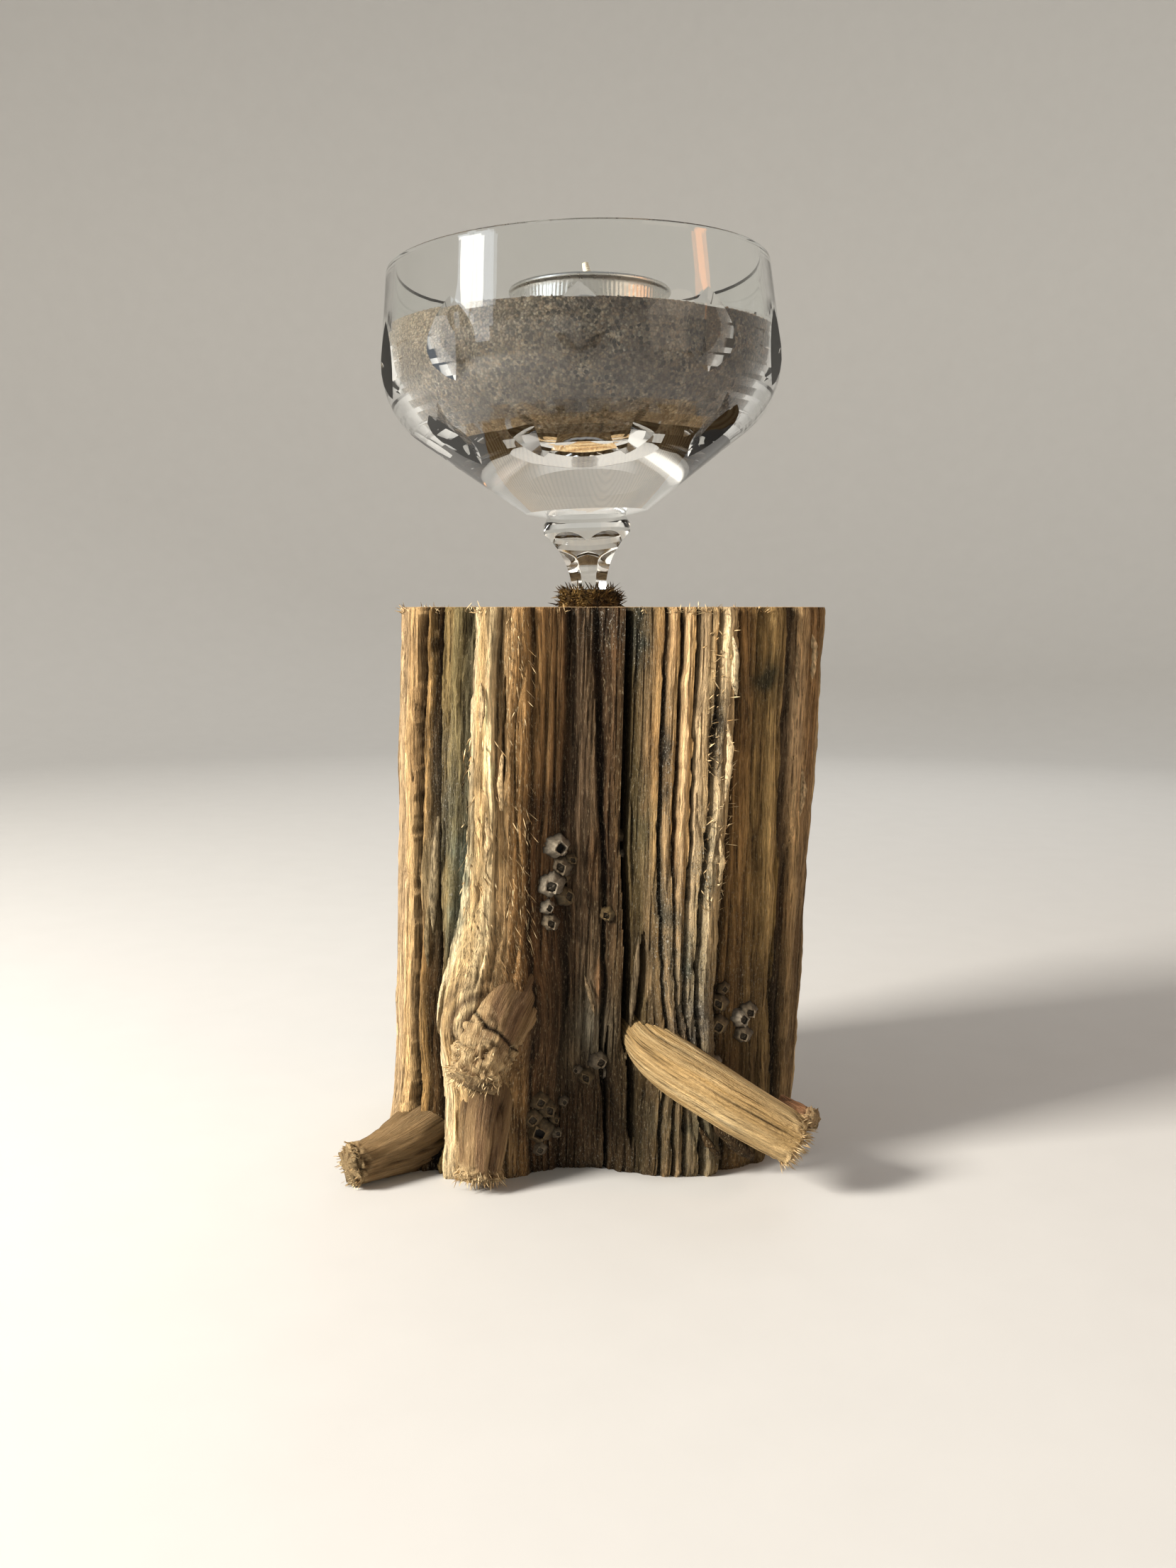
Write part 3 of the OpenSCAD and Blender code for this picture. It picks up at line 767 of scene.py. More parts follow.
def ramp(tree, value, stops, interpolation="LINEAR"):
    """Turns a value into a colour by its stops, each (place, hex colour)."""
    made = add(tree, "ShaderNodeValToRGB", {"Fac": value})
    colours = made.color_ramp
    while len(colours.elements) < len(stops):
        colours.elements.new(0.5)
    for element, (place, colour) in zip(colours.elements, stops):
        element.position = place
        element.color = linear(colour)
    colours.interpolation = interpolation
    return made.outputs[0]


def bump(tree, height, strength, distance, invert=False):
    """Bumps from a height. distance is in mm."""
    links = {"Height": height, "Strength": strength, "Distance": distance * MM}
    return add(tree, "ShaderNodeBump", links, invert=invert).outputs[0]


def weathered_driftwood():
    """Sea-worn, sun-bleached softwood: matt, with open grain, torn pale fibres and salt in its hollows."""
    material, tree = blank_material("weathered_driftwood")
    tone = attribute(tree, "tone", "Color")
    salt, fray, worn = (attribute(tree, name, "Fac") for name in ("salt", "fray", "worn"))
    # growth rings cut lengthways show as lines 0.3 to 1 mm apart, with splinters between them
    grain = stretched(tree, 0.42, 14.0, 4.0, 0.6, "flow")
    lines = stretched(tree, 1.3, 60.0, 2.0, 0.6, "flow")
    splinter = stretched(tree, 0.22, 3.2, 3.0, 0.65, "flow")
    torn = stretched(tree, 0.30, 1.6, 3.0, 0.7, "flow")
    crumb = stretched(tree, 0.35, 0.6, 2.0, 0.7, "flow")
    light = between(tree, grain, 0.30, 0.70, 0.36, 1.44)
    bands = between(tree, lines, 0.34, 0.66, 0.70, 1.20)
    sliver = between(tree, splinter, 0.34, 0.66, 0.66, 1.30)
    shade = grey(tree, times(tree, times(tree, light, bands), sliver))
    rubbed = blended(tree, worn, shade, (1.0, 1.0, 1.0, 1.0))
    colour = blended(tree, 1.0, tone, rubbed, "MULTIPLY")
    dark_line = between(tree, grain, 0.39, 0.33)
    colour = blended(tree, times(tree, dark_line, 0.6), colour, linear("#24180E"))
    pale = times(tree, between(tree, torn, 0.58, 0.66), times(tree, fray, 0.8))
    colour = blended(tree, pale, colour, linear("#D9C49C"))
    grit = times(tree, between(tree, crumb, 0.60, 0.66), salt)
    colour = blended(tree, times(tree, grit, 0.7), colour, linear("#C9C4B4"))
    soot = times(tree, between(tree, crumb, 0.40, 0.34), salt)
    colour = blended(tree, soot, colour, linear("#1B1815"))
    height = plus(tree, plus(tree, plus(tree, grain, torn), splinter), times(tree, grit, 0.5))
    surface(tree, colour, 0.86, IOR=1.45, Specular_IOR_Level=0.2, Normal=bump(tree, height, 1.0, 0.6))
    return material


def sawn_softwood():
    """Sawn end grain: growth rings about 2 mm apart round a pith, with saw marks and a few stains."""
    material, tree = blank_material("sawn_softwood")
    place = object_place(tree)
    pith = add(tree, "ShaderNodeMapping", {"Vector": place, "Location": (-0.016, 0.012, 0.0)}).outputs[0]
    bend = noise(tree, pith, 34.0, "Color", Detail=2.0)
    wander = vectors(tree, "MULTIPLY", bend, (0.012, 0.012, 0.0))
    flat = vectors(tree, "MULTIPLY", vectors(tree, "ADD", pith, wander), (1.0, 1.0, 0.0))
    away = add(tree, "ShaderNodeVectorMath", {0: flat}, operation="LENGTH").outputs["Value"]
    ring = times(tree, away, TURN / (2.1 * MM))
    wave = add(tree, "ShaderNodeMath", {0: ring}, operation="SINE").outputs[0]
    colour = ramp(tree, between(tree, wave, -1, 1),
                  [(0.0, "#D8BC90"), (0.55, "#CDA974"), (0.85, "#A87C4A"), (1.0, "#8E6438")])
    fibre = noise(tree, place, 2600.0, Detail=3.0)
    stain = noise(tree, place, 42.0, Detail=4.0)
    colour = blended(tree, between(tree, fibre, 0.35, 0.7, 0.0, 0.45), colour, linear("#E6D3AE"))
    colour = blended(tree, between(tree, stain, 0.5, 0.72, 0.0, 0.6), colour, linear("#8A7458"))
    saw = add(tree, "ShaderNodeMapping", {
        "Vector": place, "Rotation": (0, 0, 0.5), "Scale": (900.0, 14.0, 1.0)}).outputs[0]
    height = plus(tree, noise(tree, saw, 1.0, Detail=2.0), fibre)
    surface(tree, colour, 0.85, Specular_IOR_Level=0.25, Normal=bump(tree, height, 0.6, 0.25))
    return material


def lead_crystal():
    """Cut lead crystal, fire polished: clear, smooth, and brighter at its edges than window glass."""
    material, tree = blank_material("lead_crystal")
    surface(tree, linear("#FBFDFC"), 0.0, IOR=1.54, Transmission_Weight=1.0)
    return material


SAND_STOPS = [(0.0, "#241F1B"), (0.10, "#4E463C"), (0.26, "#75695A"), (0.42, "#87725A"), (0.58, "#685A4A"),
              (0.70, "#978A76"), (0.82, "#8A6E50"), (0.90, "#B3A894"), (0.97, "#A39A8C")]


def speckled_grit():
    """Coarse beach sand: matt grains of grey stone, dark slate and pale shell, about 0.5 mm across."""
    material, tree = blank_material("speckled_grit")
    place = object_place(tree)
    grains = cells(tree, place, 0.52)
    clumps = cells(tree, place, 1.6)
    specks = cells(tree, place, 0.9)
    grain_tones = ramp(tree, channels(tree, grains["Color"])[0], SAND_STOPS, "CONSTANT")
    clump_tones = ramp(tree, channels(tree, clumps["Color"])[0], SAND_STOPS)
    colour = blended(tree, 0.35, grain_tones, clump_tones)
    pick, away = channels(tree, specks["Color"])[1], specks["Distance"]
    speck = times(tree, between(tree, pick, 0.70, 0.72), between(tree, away, 0.62, 0.46))
    colour = blended(tree, speck, colour, linear("#17120E"))
    pale = times(tree, between(tree, pick, 0.16, 0.14), between(tree, away, 0.56, 0.42))
    colour = blended(tree, times(tree, pale, 0.5), colour, linear("#C2B094"))
    cloud = noise(tree, place, 150.0, Detail=3.0)
    colour = blended(tree, between(tree, cloud, 0.40, 0.64, 0.0, 0.6), colour, linear("#46372A"))
    # painted light: the grit is paler high up at the left, where the light falls on it
    axes = add(tree, "ShaderNodeSeparateXYZ", {"Vector": place}).outputs
    leftward = between(tree, axes["X"], 5 * MM, -38 * MM)
    painted_light_high_left = times(tree, leftward, between(tree, axes["Z"], 168 * MM, 189 * MM))
    colour = blended(tree, times(tree, painted_light_high_left, 0.45), colour, linear("#C6B69C"))
    # painted shade in the gaps between the grains
    painted_grain_gap_shade = between(tree, grains["Distance"], 0.42, 0.72, 0.0, 0.55)
    colour = blended(tree, painted_grain_gap_shade, colour, linear("#332D27"))
    surface(tree, colour, 0.8, Normal=bump(tree, grains["Distance"], 0.9, 0.5, invert=True))
    return material


def loose_grains():
    """The same grit as loose grains on top, each grain of one tone from its own attribute."""
    material, tree = blank_material("loose_grains")
    tones = ramp(tree, attribute(tree, "pick", "Fac"), SAND_STOPS, "CONSTANT")
    mottle = between(tree, noise(tree, object_place(tree), 3000.0), 0.4, 0.7, 0.0, 0.4)
    surface(tree, blended(tree, mottle, tones, linear("#A89A86")), 0.7)
    return material


def drawn_aluminium():
    """Thin aluminium sheet, deep drawn: bright and faintly uneven."""
    material, tree = blank_material("drawn_aluminium")
    fine = noise(tree, object_place(tree), 900.0, Detail=2.0)
    rough = between(tree, fine, 0.3, 0.7, 0.24, 0.42)
    surface(tree, linear("#E4E2DE"), rough, Metallic=1.0, Normal=bump(tree, fine, 0.15, 0.1))
    return material


def paraffin_wax():
    """Pressed white paraffin: faintly translucent, with a soft sheen and tiny pits."""
    material, tree = blank_material("paraffin_wax")
    pits = noise(tree, object_place(tree), 600.0, Detail=4.0)
    colour = blended(tree, between(tree, pits, 0.4, 0.7), linear("#F1ECDF"), linear("#E4DDCB"))
    surface(tree, colour, 0.42, Subsurface_Weight=0.35, Subsurface_Scale=1.5 * MM,
            Subsurface_Radius=(1.0, 0.9, 0.7), Normal=bump(tree, pits, 0.2, 0.15))
    return material


def braided_cotton():
    """Waxed cotton wick: off-white, with the shadow lines of its braid."""
    material, tree = blank_material("braided_cotton")
    fibre = stretched(tree, 0.16, 0.8, 3.0)
    colour = blended(tree, between(tree, fibre, 0.35, 0.65), linear("#CFC6B0"), linear("#F3EEDF"))
    surface(tree, colour, 0.8, Normal=bump(tree, fibre, 0.6, 0.1))
    return material


def dried_moss():
    """Dried moss and bark fibre: matt brown strands, from near black to pale straw."""
    material, tree = blank_material("dried_moss")
    clump = noise(tree, object_place(tree), 420.0, Detail=4.0, Roughness=0.7)
    colour = ramp(tree, clump, [(0.30, "#15100A"), (0.43, "#332515"), (0.54, "#54401F"), (0.64, "#7A6038"),
                                (0.76, "#A68C5E")])
    surface(tree, colour, 0.9, Normal=bump(tree, clump, 0.8, 0.3))
    return material


def barnacle_shell():
    """Lime shell plates: chalky grey and buff, ribbed, darker towards the foot and pale at the rim, with
    painted shade in the mouth.
    """
    material, tree = blank_material("barnacle_shell")
    chalk = noise(tree, object_place(tree), 1500.0, Detail=4.0)
    shade = grey(tree, between(tree, chalk, 0.3, 0.7, 0.6, 1.35))
    colour = blended(tree, 1.0, attribute(tree, "tone", "Color"), shade, "MULTIPLY")
    surface(tree, colour, 0.75, Normal=bump(tree, chalk, 0.6, 0.2))
    return material


def torn_fibre():
    """Loose wood fibres, bleached pale by sun and salt."""
    material, tree = blank_material("torn_fibre")
    shade = between(tree, stretched(tree, 2.0, 3.0, 2.0), 0.35, 0.65)
    surface(tree, blended(tree, shade, linear("#A88658"), linear("#E2CCA0")), 0.8)
    return material


def craft_glue():
    """Clear-drying craft glue: yellowish, smooth and a little cloudy."""
    material, tree = blank_material("craft_glue")
    cloud = noise(tree, object_place(tree), 300.0)
    surface(tree, blended(tree, cloud, linear("#D9CCA0"), linear("#C4B37F")), 0.35)
    return material


def tinned_steel():
    """Stamped tinplate: grey and faintly spangled."""
    material, tree = blank_material("tinned_steel")
    spangle = add(tree, "ShaderNodeTexVoronoi", {"Vector": object_place(tree), "Scale": 700.0})
    rough = between(tree, spangle.outputs["Distance"], 0.0, 1.0, 0.25, 0.5)
    surface(tree, linear("#A9A8A2"), rough, Metallic=1.0)
    return material


def floor_paint():
    """Plain matt studio floor."""
    material, tree = blank_material("studio_floor")
    grain = noise(tree, object_place(tree), 60.0)
    surface(tree, blended(tree, grain, linear("#C6C5C2"), linear("#CAC9C6")), 0.7)
    return material


# ---------------------------------------------------------------- geometry nodes


def new_tree(name, inputs):
    """A geometry node group with named inputs, each (name, socket type, default), that strews points."""
    tree = bpy.data.node_groups.new(name, "GeometryNodeTree")
    tree.interface.new_socket("Geometry", in_out="INPUT", socket_type="NodeSocketGeometry")
    for label, kind, default in inputs:
        made = tree.interface.new_socket(label, in_out="INPUT", socket_type=kind)
        if default is not None:
            made.default_value = default
    tree.interface.new_socket("Geometry", in_out="OUTPUT", socket_type="NodeSocketGeometry")
    enter = add(tree, "NodeGroupInput").outputs
    per_m2 = times(tree, enter["Count per mm2"], 1e6)
    spread = add(tree, "GeometryNodeDistributePointsOnFaces", {
        "Mesh": enter["Geometry"], "Density": per_m2, "Seed": enter["Seed"]})
    return tree, enter, spread.outputs


def end_tree(tree, enter, placed):
    """Turns the instances of a node group into a mesh of one material and gives it out."""
    real = add(tree, "GeometryNodeRealizeInstances", {"Geometry": placed})
    links = {"Geometry": real.outputs[0], "Material": enter["Material"]}
    dressed = add(tree, "GeometryNodeSetMaterial", links)
    add(tree, "NodeGroupOutput", {0: dressed.outputs[0]})
    return tree


def random_value(tree, kind, low, high, seed):
    """A number or a vector picked at random for every point."""
    first, result = (0, 0) if kind == "FLOAT_VECTOR" else (2, 1)
    links = {first: low, first + 1: high, "Seed": seed}
    return add(tree, "FunctionNodeRandomValue", links, data_type=kind).outputs[result]


def applied(made, tree, values):
    """Runs a geometry node group on an object, with its inputs set by name, and keeps the plain mesh."""
    modifier = made.modifiers.new("scatter", "NODES")
    modifier.node_group = tree
    for item in tree.interface.items_tree:
        if item.item_type == "SOCKET" and item.in_out == "INPUT" and item.name in values:
            modifier[item.identifier] = values[item.name]
    graph = bpy.context.evaluated_depsgraph_get()
    result = bpy.data.meshes.new_from_object(made.evaluated_get(graph))
    made.modifiers.remove(modifier)
    old = made.data
    made.data = result
    bpy.data.meshes.remove(old)
    return made


def fringe_tree():
    """Tapered fibres that stand on the faces of a mesh, each bent and turned its own way."""
    tree, enter, spread = new_tree("fringe", [
        ("Count per mm2", "NodeSocketFloat", 1.0), ("Length", "NodeSocketFloat", 4 * MM),
        ("Thickness", "NodeSocketFloat", 0.1 * MM), ("Bend", "NodeSocketFloat", 0.4),
        ("Spread", "NodeSocketFloat", 0.6), ("Lie along", "NodeSocketVector", (0.0, 0.0, 0.0)),
        ("Seed", "NodeSocketInt", 1), ("Material", "NodeSocketMaterial", None)])
    tip = add(tree, "ShaderNodeCombineXYZ", {"X": enter["Bend"], "Z": 1.0})
    strand = add(tree, "GeometryNodeCurveQuadraticBezier", {
        "Resolution": 4, "Start": (0.0, 0.0, 0.0), "Middle": (0.0, 0.0, 0.6), "End": tip.outputs[0]})
    along = add(tree, "GeometryNodeSplineParameter")
    taper = add(tree, "ShaderNodeMapRange", {"Value": along.outputs["Factor"], "To Min": 1.0, "To Max": 0.15})
    tapered = add(tree, "GeometryNodeSetCurveRadius", {
        "Curve": strand.outputs[0], "Radius": taper.outputs[0]})
    section = add(tree, "GeometryNodeCurvePrimitiveCircle", {"Resolution": 3, "Radius": 1.0})
    hair = add(tree, "GeometryNodeCurveToMesh", {
        "Curve": tapered.outputs[0], "Profile Curve": section.outputs[0]})
    jitter = random_value(tree, "FLOAT_VECTOR", (-1.0, -1.0, -1.0), (1.0, 1.0, 1.0), enter["Seed"])
    facing = vectors(tree, "ADD", spread["Normal"], enter["Lie along"])
    facing = vectors(tree, "ADD", facing, vectors(tree, "SCALE", jitter, enter["Spread"]))
    aim = add(tree, "FunctionNodeAlignRotationToVector", {"Vector": facing}, axis="Z")
    turn = add(tree, "ShaderNodeCombineXYZ", {"Z": random_value(tree, "FLOAT", 0.0, 6.28, 7)})
    spun = add(tree, "FunctionNodeRotateRotation", {"Rotation": aim.outputs[0], "Rotate By": turn.outputs[0]},
               rotation_space="LOCAL")
    length = times(tree, random_value(tree, "FLOAT", 0.35, 1.15, 5), enter["Length"])
    size = add(tree, "ShaderNodeCombineXYZ", {"X": enter["Thickness"], "Y": enter["Thickness"], "Z": length})
    placed = add(tree, "GeometryNodeInstanceOnPoints", {
        "Points": spread["Points"], "Instance": hair.outputs[0], "Rotation": spun.outputs[0],
        "Scale": size.outputs[0]})
    return end_tree(tree, enter, placed.outputs[0])


def grain_tree():
    """Loose grains strewn on a face, each turned and sized its own way and given a number for its tone."""
    tree, enter, spread = new_tree("grains", [
        ("Count per mm2", "NodeSocketFloat", 1.0), ("Size", "NodeSocketFloat", 0.5 * MM),
        ("Seed", "NodeSocketInt", 1), ("Material", "NodeSocketMaterial", None)])
    pebble = add(tree, "GeometryNodeMeshIcoSphere", {"Radius": 1.0, "Subdivisions": 1})
    flat = random_value(tree, "FLOAT_VECTOR", (0.55, 0.55, 0.4), (1.25, 1.0, 0.9), 3)
    size = vectors(tree, "SCALE", flat, enter["Size"])
    turn = random_value(tree, "FLOAT_VECTOR", (0.0, 0.0, 0.0), (6.28, 6.28, 6.28), 4)
    placed = add(tree, "GeometryNodeInstanceOnPoints", {
        "Points": spread["Points"], "Instance": pebble.outputs["Mesh"], "Rotation": turn, "Scale": size})
    toned_by = add(tree, "GeometryNodeStoreNamedAttribute", {
        "Geometry": placed.outputs[0], "Name": "pick", "Value": random_value(tree, "FLOAT", 0.0, 1.0, 9)},
        data_type="FLOAT", domain="INSTANCE")
    return end_tree(tree, enter, toned_by.outputs[0])


# ---------------------------------------------------------------- settings


class BlockSettings(bpy.types.PropertyGroup):
    flute_depth: bpy.props.FloatProperty(
        name="Flute depth", description="Depth of the weathered flutes on the sides and back, in mm",
        default=0.8, min=0.2, max=1.5)
    crack_depth: bpy.props.FloatProperty(
        name="Crack depth", description="Depth of the drying cracks, as a share of the full one",
        default=1.0, min=0.3, max=1.3, subtype="FACTOR")
    fibre_length: bpy.props.FloatProperty(
        name="Fibre length", description="Length of the torn fibres along the sawn edge",
        default=1.2 * MM, unit="LENGTH")


class BowlSettings(bpy.types.PropertyGroup):
    grain_size: bpy.props.FloatProperty(
        name="Grain size", description="Half the width of a grain of sand", default=0.36 * MM, unit="LENGTH")
    grain_cover: bpy.props.FloatProperty(
        name="Grains", description="Loose grains on each square millimetre of sand", default=1.5)
    pleats: bpy.props.IntProperty(
        name="Pleats", description="Number of fine pleats round the aluminium cup", default=110, min=20)


def settings():
    """The settings of the block and of the bowl."""
    scene = bpy.context.scene
    return scene.holder_block, scene.holder_bowl


# ---------------------------------------------------------------- pieces

MADE = {}


def material(make):
    """Makes each material once."""
    if make.__name__ not in MADE:
        MADE[make.__name__] = make()
    return MADE[make.__name__]


def piece(name, points, faces, make, body, slot, *nodes):
    """Makes a closed mesh of one material and fixes it to its body."""
    made = outward(new_object(name, points, faces))
    made.data.materials.append(material(make))
    return carry(made, body, slot, *nodes)


class HOLDER_OT_driftwood(bpy.types.Operator):
    """Build the driftwood block with its knots, stubs, cracks and sawn ends"""

    bl_idname = "holder.driftwood"
    bl_label = "Driftwood block"

    def execute(self, context):
        block, _ = settings()
        points, faces, values, flow, side_faces = driftwood_mesh(block.flute_depth, block.crack_depth)
        wood = new_object("driftwood", points, faces)
        for name, value in values.items():
            store(wood, name, value)
        store(wood, "flow", flow, "VECTOR")
        wood.data.materials.append(material(weathered_driftwood))
        wood.data.materials.append(material(sawn_softwood))
        slots = np.ones(len(wood.data.polygons), dtype=np.int32)
        slots[:side_faces] = 0
        wood.data.polygons.foreach_set("material_index", slots)
        wood.data.set_sharp_from_angle(angle=math.radians(55))
        carry(wood, "root", "driftwood", "driftwood_block")
        for name, *shape in STUBS:
            points, faces, tone, fray, flow = stub_mesh(*shape)
            stub = outward(new_object("driftwood_" + name, points, faces))
            store(stub, "tone", tone)
            store(stub, "salt", np.full(len(tone), 0.05))
            store(stub, "fray", fray)
            store(stub, "worn", np.full(len(tone), WORN[name]))
            store(stub, "flow", flow, "VECTOR")
            stub.data.materials.append(material(weathered_driftwood))
            carry(stub, "root", "driftwood")
        return {"FINISHED"}


class HOLDER_OT_coupe(bpy.types.Operator):
    """Give the cut crystal coupe its glass"""

    bl_idname = "holder.coupe"
    bl_label = "Crystal coupe"

    def execute(self, context):
        dress("coupe", lead_crystal)
        return {"FINISHED"}


def dress(node_name, make):
    """Gives a CAD node that stays a procedural material."""
    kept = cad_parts[node_name]
    kept.data.materials.clear()
    kept.data.materials.append(material(make))


class HOLDER_OT_hidden(bpy.types.Operator):
    """Give the glue and the wick's foot, which nothing shows, their finishes"""

    bl_idname = "holder.hidden"
    bl_label = "Hidden pieces"

    def execute(self, context):
        dress("socket_glue", craft_glue)
        dress("sustainer", tinned_steel)
        return {"FINISHED"}


class HOLDER_OT_sand(bpy.types.Operator):
    """Fill the bowl with grit, with loose grains over its top"""

    bl_idname = "holder.sand"
    bl_label = "Sand"

    def execute(self, context):
        _, bowl = settings()
        dress("sand_fill", speckled_grit)
        top = SAND_HI[2] / MM
        centre = ((SAND_LO[0] + SAND_HI[0]) / 2 / MM, (SAND_LO[1] + SAND_HI[1]) / 2 / MM)
        outer = (SAND_HI[1] - SAND_LO[1]) / 2 / MM - 0.6
        cup_r = (CUP_HI[0] - CUP_LO[0]) / 2 / MM + 0.4
        points = []
        for share in (0, 0.33, 0.66, 1):
            for t in np.linspace(0, TURN, 97)[:-1]:
                inner = np.array([math.cos(t), math.sin(t)]) * cup_r
                edge = np.array(centre) + np.array([math.cos(t), math.sin(t)]) * outer
                spot_at = inner * (1 - share) + edge * share
                points.append((*spot_at, top + 0.05))
        faces = grid_faces(4, 96, flip=True)
        grains = new_object("sand_grains", points, faces)
        applied(grains, grain_tree(), {"Count per mm2": bowl.grain_cover, "Size": bowl.grain_size, "Seed": 3,
                                       "Material": material(loose_grains)})
        carry(grains, "root", "sand")
        return {"FINISHED"}


class HOLDER_OT_tealight(bpy.types.Operator):
    """Build the tealight: finely pleated aluminium cup, wax with a soft meniscus, braided wick"""

    bl_idname = "holder.tealight"
    bl_label = "Tealight"

    def execute(self, context):
        _, bowl = settings()
        low, high = CUP_LO[2] / MM, CUP_HI[2] / MM
        r = (CUP_HI[0] - CUP_LO[0]) / 2 / MM
        pleats = bowl.pleats

        def pleat(a, radius, z):
            """Fine pleats up the cup's outer wall, clear of its foot and its lip."""
            side = smooth_step(low + 1.2, low + 3, z) * (1 - smooth_step(high - 2.2, high - 1.4, z))
            return 0.05 * side * math.cos(pleats * a) * (1 if radius > 17 else 0)

        lip_r = 0.62
        lip = [(r - lip_r + lip_r * math.cos(t), high - lip_r + lip_r * math.sin(t))
               for t in np.radians(np.linspace(-70, 200, 12))]
        outline = [
            (0, low + 0.5), (r - 5.5, low + 0.5), (r - 4.6, low), (r - 1.9, low), (r - 1.35, low + 0.25),
            (r - 1.1, low + 0.8), (r - 1.02, low + 2), (r - 0.92, low + 6), (r - 0.82, low + 10),
            (r - 0.72, high - 2.4), (r - 0.62, high - 1.5), *lip,
            (r - 1.2, high - 1.6), (r - 1.3, low + 3), (r - 1.5, low + 1), (0, low + 0.8)]
        points, faces = lathe(outline, pleats * 4, pleat)
        piece("tealight_cup", points, faces, drawn_aluminium, "tealight", "aluminium", "cup")

        wax_top, wax_low = WAX_HI[2] / MM, WAX_LO[2] / MM
        wax_r = (WAX_HI[0] - WAX_LO[0]) / 2 / MM

        def uneven(a, radius, z):
            """A slightly uneven edge of the wax."""
            return 0.05 * math.sin(3 * a + z) if radius > 5 else 0

        wax_line = [
            (0, wax_low + 0.5), (wax_r - 1, wax_low + 0.5), (wax_r - 0.4, wax_low + 1.4),
            (wax_r - 0.15, wax_top - 1.2), (wax_r - 0.2, wax_top - 0.1), (wax_r - 0.6, wax_top - 0.35),
            (wax_r - 1.6, wax_top - 0.5), (12, wax_top - 0.45), (7, wax_top - 0.6), (3, wax_top - 0.75),
            (1.6, wax_top - 0.45), (1.1, wax_top - 0.05), (0, wax_top + 0.05)]
        points, faces = lathe(wax_line, 96, uneven)
        piece("tealight_wax", points, faces, paraffin_wax, "tealight", "wax", "wax")

        wick_low, wick_top = WICK_LO[2] / MM, WICK_HI[2] / MM
        bend = [(0, 0, wick_low + 0.6), (0, 0, wax_top - 3), (0, 0, wax_top + 1.0),
                (-0.25, 0.05, wax_top + 4), (-0.75, 0.1, wick_top - 2), (-1.1, 0.1, wick_top - 0.15)]
        sides, rings = 20, 110
        turn, along = np.meshgrid(angles_round(sides), np.linspace(0, 150, rings))
        braid = 0.09 * np.sin(3 * turn + along) + 0.07 * np.sin(3 * turn - along)
        path = [(x + 0.001 * i, y, z) for i, (x, y, z) in enumerate(bend)]
        radii = [0.78, 0.78, 0.84, 0.86, 0.84, 0.66]
        points, faces = tube(path, radii, sides, rings, braid, 0.3)
        piece("tealight_wick", points, faces, braided_cotton, "tealight", "wick", "wick")
        return {"FINISHED"}


class HOLDER_OT_moss(bpy.types.Operator):
    """Pack dried moss and bark fibre round the stem"""

    bl_idname = "holder.moss"
    bl_label = "Moss ruff"

    def execute(self, context):
        low, top = MOSS_LO[2] / MM, MOSS_HI[2] / MM

        def lumps(a, r, z):
            """Lumps on the outside of the moss."""
            if r < 5.2:
                return 0
            return 0.8 * float(layered(np.array([a * 2.6]), np.array([z * 0.7]), 401, 3)[0])

        line = [
            (5.0, low + 0.1), (6.3, low + 0.1), (6.3, BLOCK_H - 1.0), (6.5, BLOCK_H + 0.1),
            (7.0, BLOCK_H + 0.15), (6.8, BLOCK_H + 1.2), (6.2, BLOCK_H + 2.2), (5.9, BLOCK_H + 3.4),
            (5.3, top - 0.5), (4.9, top - 0.8), (4.7, BLOCK_H + 2.4), (4.7, BLOCK_H), (5.0, low + 0.1)]
        points, faces = lathe(line, 64, lumps)
        piece("moss_body", points, faces, dried_moss, "root", "moss", "moss_collar")
        ring = [(7.0, BLOCK_H + 0.3), (6.4, BLOCK_H + 1.8), (6.0, BLOCK_H + 3.2), (5.3, top - 0.9),
                (4.9, top - 0.7)]
        points, faces = lathe(ring, 48)
        strands = outward(new_object("moss_strands", points, faces))
        applied(strands, fringe_tree(), {
            "Count per mm2": 3.0, "Length": 1.7 * MM, "Thickness": 0.09 * MM, "Bend": 3.0, "Spread": 1.3,
            "Seed": 11, "Material": material(dried_moss)})
        carry(strands, "root", "moss")
        return {"FINISHED"}


